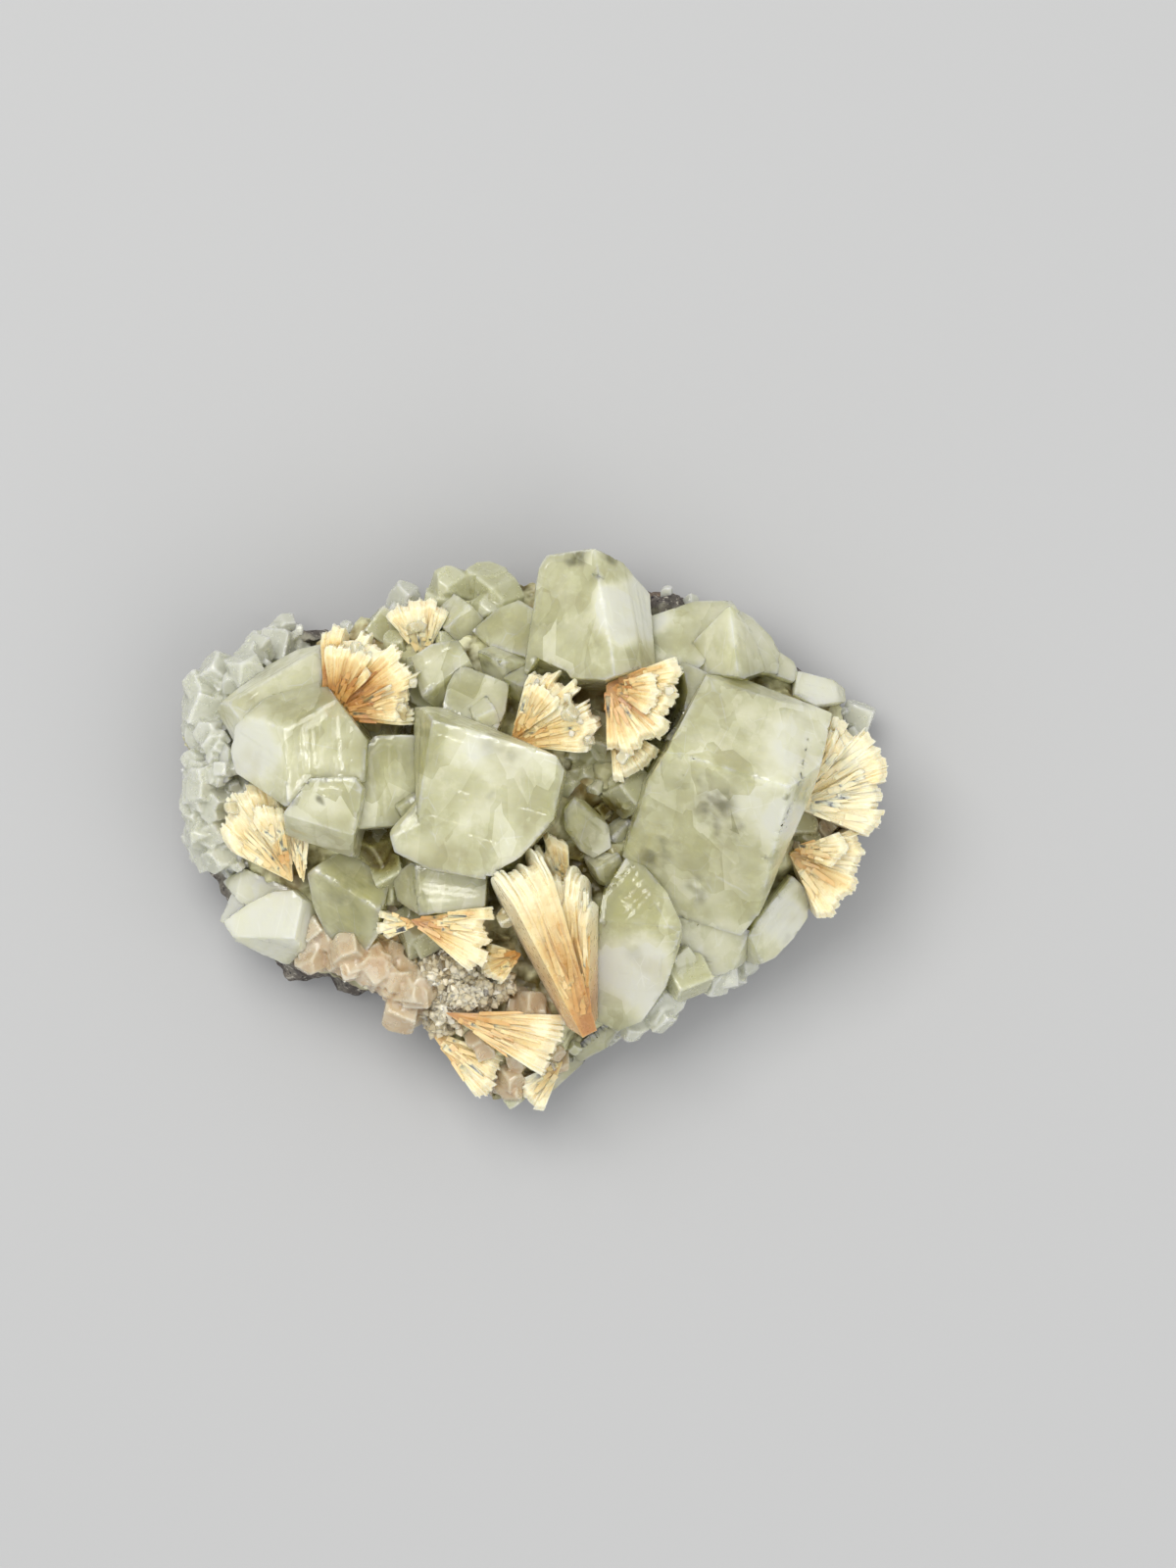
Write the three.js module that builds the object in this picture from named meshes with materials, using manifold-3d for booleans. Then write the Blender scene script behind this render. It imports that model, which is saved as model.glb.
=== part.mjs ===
// A zeolite specimen: blocky green apophyllite crystals and fanned peach stilbite sheaves
// on a pale crust over a slab of dark basalt.
//
// Millimetres, +Z up. The origin is on the resting plane, under the middle of the specimen.
// +X is east and +Y is north, as the specimen is seen from above.

import * as THREE from "three";
import { ConvexGeometry } from "three/addons/geometries/ConvexGeometry.js";
import { mergeVertices } from "three/addons/utils/BufferGeometryUtils.js";
import Module from "manifold-3d";

const wasm = await Module();
wasm.setup();

// Driving dimensions

const GAP = 0.3; // left between neighbouring solids
const TIDY = 0.06; // faces closer to one plane than this become one
const SPLAY = 0.15; // how far a rim crystal leans out, in mm for each mm of height
const REACH = 60; // half the specimen's length, where the lean is greatest
const CRYSTAL_FOOT = 9; // how deep a crystal's column starts, unless it says otherwise
const BLADE_OVERLAP = 0.56; // of a blade's share of its sheaf, so that neighbours join
const BLADE_LENGTHS = [0.92, 0.1]; // the shortest blade of a sheaf, and how much more the longest has
const BLADE_DEPTHS = [0.86, 0.26];
const BLADE_HEEL = 0.7; // how far out a blade reaches at its foot, against its tip

// The specimen's edge seen from above, counter-clockwise from the east.
const EDGE = [
  [60, 5], [59, 11], [57, 17], [52.5, 21.5], [52, 24], [44.5, 26.5], [40, 32], [34.5, 37], [27, 38.3],
  [20, 39.5], [15, 44], [10.5, 46.7], [4.5, 46.5], [0, 41.5], [-8, 40], [-17, 39.3], [-25, 36.3],
  [-31, 33.5], [-38, 34], [-46.5, 30.3], [-52, 26.5], [-56.3, 22], [-57.5, 13], [-60, 8], [-58.7, 1],
  [-55, -4.5], [-53, -15.5], [-45, -22], [-35, -26.8], [-24, -29.5], [-20, -32.5], [-15, -39.5],
  [-6.5, -45.7], [-1.8, -46.8], [5, -41.8], [12, -37], [18, -32.6], [25, -27.8], [38, -23], [45, -16.5],
  [53.5, -9.5], [55.2, -2],
];

// Profiles from the middle of the underside, out and up to the middle of the top:
// how far out, as a share of the edge's distance, and the height.
const ROCK_PROFILE = [[0, 0], [0.88, 0], [0.985, 5], [0.96, 9.5], [0.6, 12.4], [0, 13.4]];
const CRUST_PROFILE = [[0, 8], [0.92, 8], [0.95, 15], [0.86, 20.5], [0.55, 24.5], [0, 26]];
const ROCK_SECTORS = 32;
const CRUST_SECTORS = 28;
const ROCK_ROUGHNESS = 2.2;
const CRUST_ROUGHNESS = 2;

// Small helpers

// A repeatable stream of numbers from 0 to 1.
function stream(seed) {
  let state = seed;
  return () => {
    state = (state + 0x6d2b79f5) | 0;
    let mixed = Math.imul(state ^ (state >>> 15), 1 | state);
    mixed = (mixed + Math.imul(mixed ^ (mixed >>> 7), 61 | mixed)) ^ mixed;
    return ((mixed ^ (mixed >>> 14)) >>> 0) / 4294967296;
  };
}

const radians = THREE.MathUtils.degToRad;

function solidOf(geometry) {
  const bare = geometry.clone();
  bare.deleteAttribute("normal");
  bare.deleteAttribute("uv");
  const merged = mergeVertices(bare, 1e-4);
  return new wasm.Manifold(
    new wasm.Mesh({
      numProp: 3,
      vertProperties: new Float32Array(merged.attributes.position.array),
      triVerts: new Uint32Array(merged.index.array),
    }),
  );
}

function cornersOf(solid) {
  const { vertProperties, numProp } = solid.getMesh();
  const corners = [];
  for (let i = 0; i < vertProperties.length; i += numProp)
    corners.push(new THREE.Vector3(...vertProperties.subarray(i, i + 3)));
  return corners;
}

const hull = (corners) => solidOf(new ConvexGeometry(corners));
const union = (solids) => solids.reduce((sum, solid) => sum.add(solid));

// The planes of a convex solid's faces, each as its outward direction and its distance from the origin.
function facesOf(solid) {
  const { vertProperties, triVerts, numProp } = solid.getMesh();
  const corner = (i) => new THREE.Vector3(...vertProperties.subarray(i * numProp, i * numProp + 3));
  const planes = [];
  for (let i = 0; i < triVerts.length; i += 3) {
    const [a, b, c] = [0, 1, 2].map((k) => corner(triVerts[i + k]));
    const out = b.sub(a).cross(c.sub(a)).normalize();
    const far = out.dot(a);
    const known = planes.some((plane) => plane.out.dot(out) > 0.9999 && Math.abs(plane.far - far) < 0.01);
    if (!known && out.length() > 0.5) planes.push({ out, far });
  }
  return planes;
}

// The hull of the corners with each of its faces moved out by the gap.
function grownHull(corners) {
  const solid = hull(corners);
  const { min, max } = solid.boundingBox();
  const size = [0, 1, 2].map((axis) => max[axis] - min[axis] + 2 * GAP);
  const middle = [0, 1, 2].map((axis) => (max[axis] + min[axis]) / 2);
  const room = solidOf(new THREE.BoxGeometry(...size).translate(...middle));
  return facesOf(solid).reduce(
    (left, { out, far }) => left.trimByPlane(out.negate().toArray(), -far - GAP),
    room,
  );
}

// What is left of a solid under the plane through three points.
function trimmed(solid, [a, b, c]) {
  const [p, q, r] = [a, b, c].map((point) => new THREE.Vector3(...point));
  const down = q.clone().sub(p).cross(r.clone().sub(p)).normalize();
  if (down.z > 0) down.negate();
  return solid.trimByPlane(down.toArray(), down.dot(p));
}

// The parts of a piece are lists of corners, and each list's hull is one convex solid.

// A crystal is a column with the given outline from above. It leans out from the specimen's middle,
// and flat facets cut its top. Each facet is a plane through three points of it.
function crystal({ plan, facets, foot = CRYSTAL_FOOT, splay = SPLAY }) {
  const heights = facets.flat().map((point) => point[2]);
  const level = heights.reduce((sum, z) => sum + z, 0) / heights.length;
  const [mx, my] = middleOf(plan);
  const ring = (z) =>
    plan.map(([x, y]) => {
      const drift = (splay * (level - z)) / REACH;
      return new THREE.Vector3(x - mx * drift, y - my * drift, z);
    });
  const column = hull([...ring(Math.max(...heights) + 6), ...ring(foot)]);
  return cornersOf(facets.reduce(trimmed, column));
}

function middleOf(plan) {
  return [0, 1].map((axis) => plan.reduce((sum, point) => sum + point[axis], 0) / plan.length);
}

// The same crystal with a smaller outline and its facets raised: a growth ledge on top of it.
function ledge(spec, share, rise, [towardsX, towardsY] = [0, 0]) {
  const [mx, my] = middleOf(spec.plan);
  const shrink = ([x, y]) => [mx + towardsX + (x - mx) * share, my + towardsY + (y - my) * share];
  return crystal({
    ...spec,
    plan: spec.plan.map(shrink),
    facets: spec.facets.map((facet) => facet.map(([x, y, z]) => [x, y, z + rise])),
  });
}

// A small cube, for the little crystals between the large ones.
function cubelet(x, y, z, size, turn) {
  const cube = new THREE.BoxGeometry(size, size, size * 1.1);
  cube.applyQuaternion(new THREE.Quaternion().setFromEuler(new THREE.Euler(...turn.map(radians))));
  return cornersOf(solidOf(cube.translate(x, y, z)));
}

// A sheaf is a fan of thin upright blades that spread from its root.
// aim is the way it opens, counter-clockwise from east, and rise how steeply it climbs.
// roll turns the fan about that line, deep is its depth across the fan at the tips, and round is
// how much shorter its outer blades are.
const USUAL_SHEAF = { rise: 8, roll: 0, deep: 8, blades: 7, neck: 1.6, round: 0.06, foot: 14 };

function sheaf(spec) {
  const { root, aim, rise, roll, spread, length, deep, blades, neck, round, foot, seed } = {
    ...USUAL_SHEAF,
    ...spec,
  };
  const random = stream(seed * 7919);
  const frame = new THREE.Euler(radians(roll), radians(-rise), radians(aim), "ZYX");
  const place = (radius, degrees, up) =>
    new THREE.Vector3(radius * Math.cos(radians(degrees)), radius * Math.sin(radians(degrees)), up)
      .applyEuler(frame)
      .add(new THREE.Vector3(...root));
  const step = spread / blades;
  const stem = [place(0, 0, neck), place(0, 0, -neck).setZ(foot)];
  return Array.from({ length: blades }, (_, i) => {
    const middle = (i + 0.5) * step - spread / 2;
    const share = (2 * middle) / spread;
    const reach = length * (1 - round * share * share) * (BLADE_LENGTHS[0] + BLADE_LENGTHS[1] * random());
    const half = (deep / 2) * (BLADE_DEPTHS[0] + BLADE_DEPTHS[1] * random());
    const tips = [-1, 1].flatMap((side) => {
      const degrees = middle + side * step * BLADE_OVERLAP;
      return [
        place(reach * 0.97, degrees, half),
        place(reach, degrees, -half),
        place(reach * BLADE_HEEL, degrees, -half).setZ(foot),
      ];
    });
    return [...stem, ...tips];
  });
}

// A rounded slab under the whole specimen: a turned profile stretched out to its edge.
function slab(profile, sectors, roughness, grow, seed) {
  const random = stream(seed);
  const bumps = Array.from({ length: sectors * profile.length }, () => random() - 0.5);
  const lathe = new THREE.LatheGeometry(
    profile.map(([share, z]) => new THREE.Vector2(share, z)),
    sectors,
  ).rotateX(Math.PI / 2);
  const position = lathe.attributes.position;
  for (let i = 0; i < position.count; i++) {
    const ring = i % profile.length;
    const sector = Math.floor(i / profile.length) % sectors;
    const [share, z] = profile[ring];
    const bump = bumps[ring * sectors + sector] * roughness;
    const angle = (2 * Math.PI * sector) / sectors;
    const onAxis = share === 0;
    const far = onAxis ? 0 : share * edgeDistance(angle) + bump + grow;
    const flat = onAxis || z === profile[0][1];
    const high = flat ? z - (z === profile[0][1] ? grow : -grow) : z + bump + grow;
    position.setXYZ(i, far * Math.cos(angle), far * Math.sin(angle), high);
  }
  return solidOf(lathe);
}

// How far the specimen's edge is from the origin, in one direction.
function edgeDistance(angle) {
  const [dx, dy] = [Math.cos(angle), Math.sin(angle)];
  let best = 0;
  EDGE.forEach(([x1, y1], i) => {
    const [x2, y2] = EDGE[(i + 1) % EDGE.length];
    const det = dx * (y1 - y2) - dy * (x1 - x2);
    const share = (dx * y1 - dy * x1) / det;
    const distance = (x1 * (y1 - y2) - y1 * (x1 - x2)) / det;
    if (share >= 0 && share <= 1 && distance > best) best = distance;
  });
  return best;
}

// The green crystals. Each entry is one solid, made of the crystals that have grown into one another.

const EAST_BLOCK = {
  plan: [[24, 13.5], [29.4, 25.4], [36, 24.4], [49.7, 19], [46, 7], [42, -4], [38.2, -13.8], [35.6, -17.3],
    [24.8, -14], [22.4, -10.4], [16, -4.2], [19.3, 8]],
  facets: [
    [[24.5, 12.2, 46], [42.2, 7, 47.5], [36, 22.4, 36.5]],
    [[24.5, 12.2, 46], [42.2, 7, 47.5], [27, -12, 29]],
    [[40.3, 20.2, 38], [45.6, 7, 45.4], [49.6, 19, 34]],
    [[31, 24.6, 34.4], [40, 20.4, 38], [38, 24, 31]],
    [[42.2, 7, 47.5], [38, -13.6, 30], [44.4, 0, 34]],
  ],
};
const CENTER_BLOCK = {
  plan: [[-19.6, 20], [-15.2, 19.8], [3.7, 11.8], [5, 9.6], [3.2, 1.6], [-5.2, -7.6], [-17, -6.4], [-19, 3]],
  facets: [
    [[-16.4, 17.3, 45], [4.6, 10.6, 46.5], [-10, -7, 43]],
    [[-16.4, 17.3, 45], [-18.6, 3, 43.6], [-20, 15, 37]],
    [[-15.5, 17.6, 44.8], [3.6, 12, 46.2], [-7, 18, 37]],
  ],
};
const NORTH_BLOCK = {
  plan: [[2.6, 45.6], [10.2, 46.2], [15, 44], [19.2, 39.7], [19.9, 27], [12, 24], [-1, 25.6], [1.4, 31.5],
    [1.5, 43.5]],
  facets: [
    [[10.1, 45.6, 33], [12.6, 31, 40], [1.6, 38, 31.5]],
    [[10.1, 45.6, 33], [12.6, 31, 40], [16.2, 38, 32.5]],
    [[13.4, 42.5, 33], [19.8, 27, 34.6], [19.4, 38, 27]],
  ],
};
const SOUTHEAST_BLOCK = {
  plan: [[9.4, -15], [15.6, -5.2], [17.4, -5.6], [22, -11], [24.4, -16.3], [24.2, -19], [22, -26.6],
    [18.3, -32.4], [14.5, -34], [9.6, -31.6], [9.1, -24]],
  facets: [
    [[9.4, -15.2, 33.5], [24.3, -16.3, 32.5], [16, -5, 31]],
    [[9.4, -15.2, 33.5], [24.3, -16.3, 32.5], [14, -33, 21.5]],
    [[24.3, -16.3, 32.5], [22.6, -24, 27.6], [24.6, -20, 25]],
  ],
};
const WEST_BLOCK = {
  plan: [[-50.3, 13], [-49.5, 17], [-45, 21.4], [-36.3, 26], [-34.6, 20], [-27.6, 14.6], [-28, 8],
    [-36.5, 7], [-40.5, 4], [-49.4, 9.6]],
  facets: [
    [[-45, 21.2, 34], [-36.4, 25.8, 34], [-38, 18.4, 40.4]],
    [[-41.3, 18, 40.6], [-40.5, 8, 40.8], [-50, 13, 33]],
    [[-41.3, 18, 40.6], [-40.5, 8, 40.8], [-28, 12, 41]],
  ],
};
const NORTHWEST_BLOCK = {
  plan: [[-53.2, 20], [-45, 27.2], [-40, 29.6], [-35.2, 30.4], [-33.8, 29.5], [-35, 21], [-45, 14],
    [-50.4, 15]],
  facets: [
    [[-50.6, 20.6, 32], [-35, 29.8, 34], [-45, 27.2, 25]],
    [[-50.6, 20.6, 32], [-35, 29.8, 34], [-44, 19, 35]],
    [[-50.6, 20.6, 32], [-53.2, 20, 25.5], [-48, 16, 32.5]],
  ],
};
const TILTED_CUBE = {
  plan: [[-41.2, -0.7], [-40.8, 2.6], [-36.5, 8], [-29.2, 8.2], [-28.2, 6.6], [-29.8, -0.8], [-30.5, -4.4]],
  facets: [
    [[-40.8, 2.5, 41], [-29.8, -0.8, 42.5], [-33, 8, 43.5]],
    [[-40.8, 2.5, 41], [-29.8, -0.8, 42.5], [-35.5, -3.5, 35]],
  ],
  foot: 24,
};
const MIDDLE_WEST_BLOCK = {
  plan: [[-26, 15.2], [-19.4, 15.2], [-18.6, 3], [-20.5, 1], [-29.3, 0.2], [-28.2, 8.5], [-27.7, 13]],
  facets: [
    [[-26, 15, 39], [-19.5, 15, 38.5], [-24, 0.4, 38]],
    [[-29.2, 0.4, 38.2], [-20.5, 1, 38], [-25, -0.2, 34]],
  ],
};
const PEAK = {
  plan: [[32.7, 36.7], [26, 30], [28.5, 26.2], [34.5, 25], [38.7, 26.8], [37.2, 31], [36.2, 33.2]],
  facets: [
    [[32.7, 36.5, 33], [34, 26, 36], [26, 30, 28]],
    [[32.7, 36.5, 33], [34, 26, 36], [38.4, 28, 28]],
  ],
};
const SMOKY_BLOCK = {
  plan: [[-37.3, -7.5], [-30.4, -3], [-24.4, -8.6], [-26, -17], [-28, -20], [-34, -19.3], [-36.7, -13]],
  facets: [
    [[-36.4, -7, 30], [-26.2, -13.4, 31.5], [-28, -5, 27]],
    [[-36.4, -7, 30], [-26.2, -13.4, 31.5], [-33, -19, 24]],
  ],
};
const WHITE_BLOCK = {
  plan: [[-51.9, -15.9], [-47.5, -13], [-43.5, -11], [-40, -10.6], [-37, -13.2], [-36.6, -16], [-38.5, -20],
    [-42.3, -23], [-46, -21.2], [-50, -18.9]],
  facets: [
    [[-51, -16, 23], [-40, -11, 27], [-40, -18, 27]],
    [[-47.5, -18, 24.4], [-40, -18.2, 27], [-43, -22.7, 18]],
    [[-38.6, -12.4, 27], [-40, -18.2, 27], [-36.8, -16, 21.5]],
  ],
  foot: 8,
};
const SOUTH_BLOCK = {
  plan: [[-23.3, -8.3], [-20.3, -6], [-8, -7.7], [-8.3, -13], [-18.7, -14.1], [-22.5, -12]],
  facets: [
    [[-19.5, -6.2, 35], [-8.2, -7.8, 36], [-18.8, -14, 35]],
    [[-19.4, -6.2, 35], [-18.8, -14, 35], [-23.3, -9.5, 30]],
  ],
};

const APOPHYLLITE = {
  apophyllite_east: [
    crystal(EAST_BLOCK),
    ledge(EAST_BLOCK, 0.72, 0.5, [1, 1.5]),
    crystal({
      plan: [[24.6, -14.4], [36, -17.2], [35.8, -22.6], [33.5, -23.1], [25, -27.5], [22.9, -26],
        [24.4, -18.5]],
      facets: [
        [[24.6, -14.5, 27], [36, -17.2, 26], [28, -25.5, 19.5]],
        [[36, -17, 26], [34, -22.8, 21], [36, -22, 17]],
      ],
    }),
  ],
  apophyllite_center: [
    crystal(CENTER_BLOCK),
    ledge(CENTER_BLOCK, 0.7, 0.5, [1.4, 0.8]),
    crystal({
      plan: [[-19, 4.4], [-23.4, -0.5], [-22.6, -3.6], [-17, -6.4], [-8, -8], [-8, 4]],
      facets: [
        [[-22, -1, 42.6], [-17, -6, 42.8], [-10, 0, 43.6]],
        [[-23.3, -1, 41.6], [-19.5, 3.6, 42.4], [-23, 3, 36]],
      ],
    }),
  ],
  apophyllite_north: [
    crystal(NORTH_BLOCK),
    ledge(NORTH_BLOCK, 0.66, 0.5, [-1.4, 0]),
  ],
  apophyllite_southeast: [
    crystal(SOUTHEAST_BLOCK),
    ledge(SOUTHEAST_BLOCK, 0.74, 0.4, [-0.8, -0.8]),
    crystal({
      plan: [[8, -30.6], [14.5, -33.6], [12, -37], [8, -39.4], [4.8, -37.6], [6, -33]],
      facets: [[[8, -31, 19], [14.4, -33.8, 17], [6, -38.6, 14]]],
      foot: 7,
    }),
  ],
  apophyllite_south_rim: [
    crystal({
      plan: [[6.6, -38.6], [8.4, -39.3], [5, -41.8], [2.8, -44.7], [0.2, -45.9], [0.4, -43.4], [4, -39.6]],
      facets: [[[6.6, -39, 14], [2.6, -44.6, 10], [1.4, -42.4, 14]]],
      foot: 5,
    }),
  ],
  apophyllite_west: [
    crystal(WEST_BLOCK),
    ledge(WEST_BLOCK, 0.62, 0.45, [1.2, -1]),
    crystal(NORTHWEST_BLOCK),
    crystal(TILTED_CUBE),
    crystal(MIDDLE_WEST_BLOCK),
    ledge(MIDDLE_WEST_BLOCK, 0.6, 0.4, [0.6, 0]),
    cubelet(-20.6, 3.6, 37.4, 3.4, [20, 15, 30]),
  ],
  apophyllite_cube_pair: [
    crystal({
      plan: [[-20, 28.4], [-17, 30.4], [-12.8, 31.1], [-10.5, 27.2], [-15, 19.8], [-18.2, 21.8]],
      facets: [
        [[-20, 28.5, 33], [-12.8, 31, 33.6], [-18.4, 22.4, 36.4]],
        [[-10.8, 27.6, 35], [-18.3, 22.3, 36.4], [-15, 19.8, 30]],
      ],
    }),
    crystal({
      plan: [[-12.3, 27], [-4.4, 23.9], [-5, 19.5], [-6.4, 16], [-15, 18.6], [-14, 23.5]],
      facets: [
        [[-12.4, 27, 35.5], [-4.3, 23.9, 35], [-10, 18, 38.4]],
        [[-14.6, 19, 37.8], [-6, 16.5, 37.4], [-10, 14.6, 33]],
      ],
    }),
    cubelet(-8.2, 18.8, 37.4, 3.2, [35, 20, 15]),
  ],
  apophyllite_bead: [
    crystal({
      plan: [[-9, 29.4], [-7, 30.3], [-4.5, 30.1], [-1, 27.6], [-1.3, 26], [-4, 24.2], [-8, 25.8]],
      facets: [
        [[-5.5, 27.6, 34.5], [-9, 29.4, 32], [-1.1, 27.5, 32]],
        [[-5.5, 27.6, 34.5], [-9, 29.4, 32], [-4, 24.4, 31.5]],
        [[-5.5, 27.6, 34.5], [-1.1, 27.5, 32], [-4, 24.4, 31.5]],
      ],
    }),
    cubelet(-1.6, 24, 33, 3.6, [25, 40, 20]),
  ],
  apophyllite_north_shelf: [
    crystal({
      plan: [[-10, 33.2], [-6, 36.6], [-2.5, 38], [0.6, 36], [1.2, 31.5], [-1, 28.4], [-7, 30.6]],
      facets: [
        [[-6, 36.4, 26], [-2.4, 37.8, 26], [-3, 30, 30.5]],
        [[-6, 36.4, 26], [-3, 30, 30.5], [-10, 32.6, 25.5]],
      ],
    }),
    cubelet(-12.4, 34.6, 22, 5.4, [20, 25, 40]),
  ],
  apophyllite_saddle: [
    crystal({
      plan: [[17.2, 24], [20, 27.2], [25.5, 27.3], [29.2, 25.6], [27.4, 20], [23.2, 14.4], [19, 16]],
      facets: [
        [[17, 25, 34], [29.2, 25.6, 33], [23.6, 15, 38.5]],
        [[17.4, 23, 34.4], [22, 27, 33], [19, 26, 30.5]],
      ],
    }),
  ],
  apophyllite_peak: [
    crystal(PEAK),
    crystal({
      plan: [[20, 35.4], [27.5, 38.2], [33.6, 38.3], [34.4, 36.5], [32, 30], [27, 26.5], [20.2, 27.2]],
      facets: [
        [[20, 28, 31], [32, 30, 30.5], [27.5, 38.2, 23]],
        [[20, 35, 25], [20.4, 28, 31], [23, 36.6, 23.6]],
      ],
      foot: 11,
    }),
    crystal({
      plan: [[34.2, 36.6], [36.7, 35.3], [39.8, 32.1], [41.2, 29.4], [40.5, 26], [36, 26], [33, 32]],
      facets: [[[34.4, 36.5, 20], [40.5, 31, 19.5], [36, 29, 25]]],
      foot: 11,
    }),
    crystal({
      plan: [[41, 29.6], [43.7, 27.9], [44.4, 26.3], [43.4, 24.8], [39, 26]],
      facets: [[[41.2, 29.4, 19], [44.4, 26.4, 18.5], [40, 26, 23.5]]],
      foot: 11,
    }),
  ],
  apophyllite_east_rim: [
    crystal({
      plan: [[44.6, 26], [50.5, 24.6], [52.5, 23.4], [52.4, 21.6], [47, 20.6], [43.6, 22.4]],
      facets: [
        [[44.5, 25.8, 20], [50.5, 24.6, 18.6], [46, 21, 23]],
        [[50.4, 24.6, 18.6], [51, 21.4, 20.6], [52.6, 22.6, 15]],
      ],
      foot: 8,
    }),
    crystal({
      plan: [[40.2, 25.6], [43.2, 25.5], [44.2, 24.2], [42.6, 22.7], [40.9, 23.4]],
      facets: [
        [[40.2, 25.8, 26], [44.2, 24.2, 25.5], [42.4, 22.6, 29]],
        [[43, 25.6, 25.8], [42.6, 22.8, 28.6], [44.6, 23.4, 22]],
      ],
      foot: 14,
    }),
  ],
  apophyllite_east_shard: [
    crystal({
      plan: [[42.9, -8.2], [37.2, -15.6], [35.9, -18.2], [36.2, -22.2], [37.6, -22.8], [40.5, -21.6],
        [43.5, -18.5], [45.8, -15], [46, -11]],
      facets: [
        [[43, -8.4, 27.5], [36.4, -19, 25.5], [44, -17, 21.5]],
        [[36.2, -18, 25.5], [38, -22.6, 21], [36.2, -22, 18]],
      ],
      foot: 6,
    }),
  ],
  apophyllite_south_block: [
    crystal(SOUTH_BLOCK),
    ledge(SOUTH_BLOCK, 0.66, 0.4, [1.4, 0.2]),
  ],
  apophyllite_smoky: [
    crystal(SMOKY_BLOCK),
    ledge(SMOKY_BLOCK, 0.6, 0.4, [0.6, 0.8]),
  ],
  apophyllite_white: [
    crystal(WHITE_BLOCK),
    ledge(WHITE_BLOCK, 0.55, 0.5, [-2, 1]),
    crystal({
      plan: [[-53, -15.7], [-50.6, -11], [-49.4, -10.4], [-48, -12.8], [-51.8, -16.1]],
      facets: [[[-53, -15.6, 16], [-50.2, -10.8, 19], [-48.4, -13, 22]]],
      foot: 7,
    }),
    crystal({
      plan: [[-52.4, -9.2], [-50.4, -8], [-48.6, -7.2], [-40, -10.6], [-44, -11.6], [-48, -13.4],
        [-49.6, -10.6]],
      facets: [
        [[-49, -8, 21.5], [-40.5, -10.6, 24.5], [-48, -13, 22]],
        [[-49, -7.6, 21.5], [-49.4, -10.6, 21.6], [-52.4, -9, 17.5]],
      ],
      foot: 8,
    }),
  ],
  apophyllite_hollow: [
    crystal({
      plan: [[5.4, 3], [6.8, 4.8], [8.2, 4.4], [12.2, 0.3], [12.6, -3], [10, -4.6], [8, -3.4], [5.6, 0]],
      facets: [
        [[5.6, 3, 33], [12, 0.4, 31], [9.4, -4.6, 30]],
        [[6.8, 4.8, 32.6], [12.2, 0.3, 31], [11, 4, 26]],
      ],
    }),
    cubelet(12, -6.2, 27.6, 4.2, [30, 25, 20]),
    cubelet(14.2, -1.2, 24.4, 5, [15, 40, 35]),
  ],
};

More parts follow.
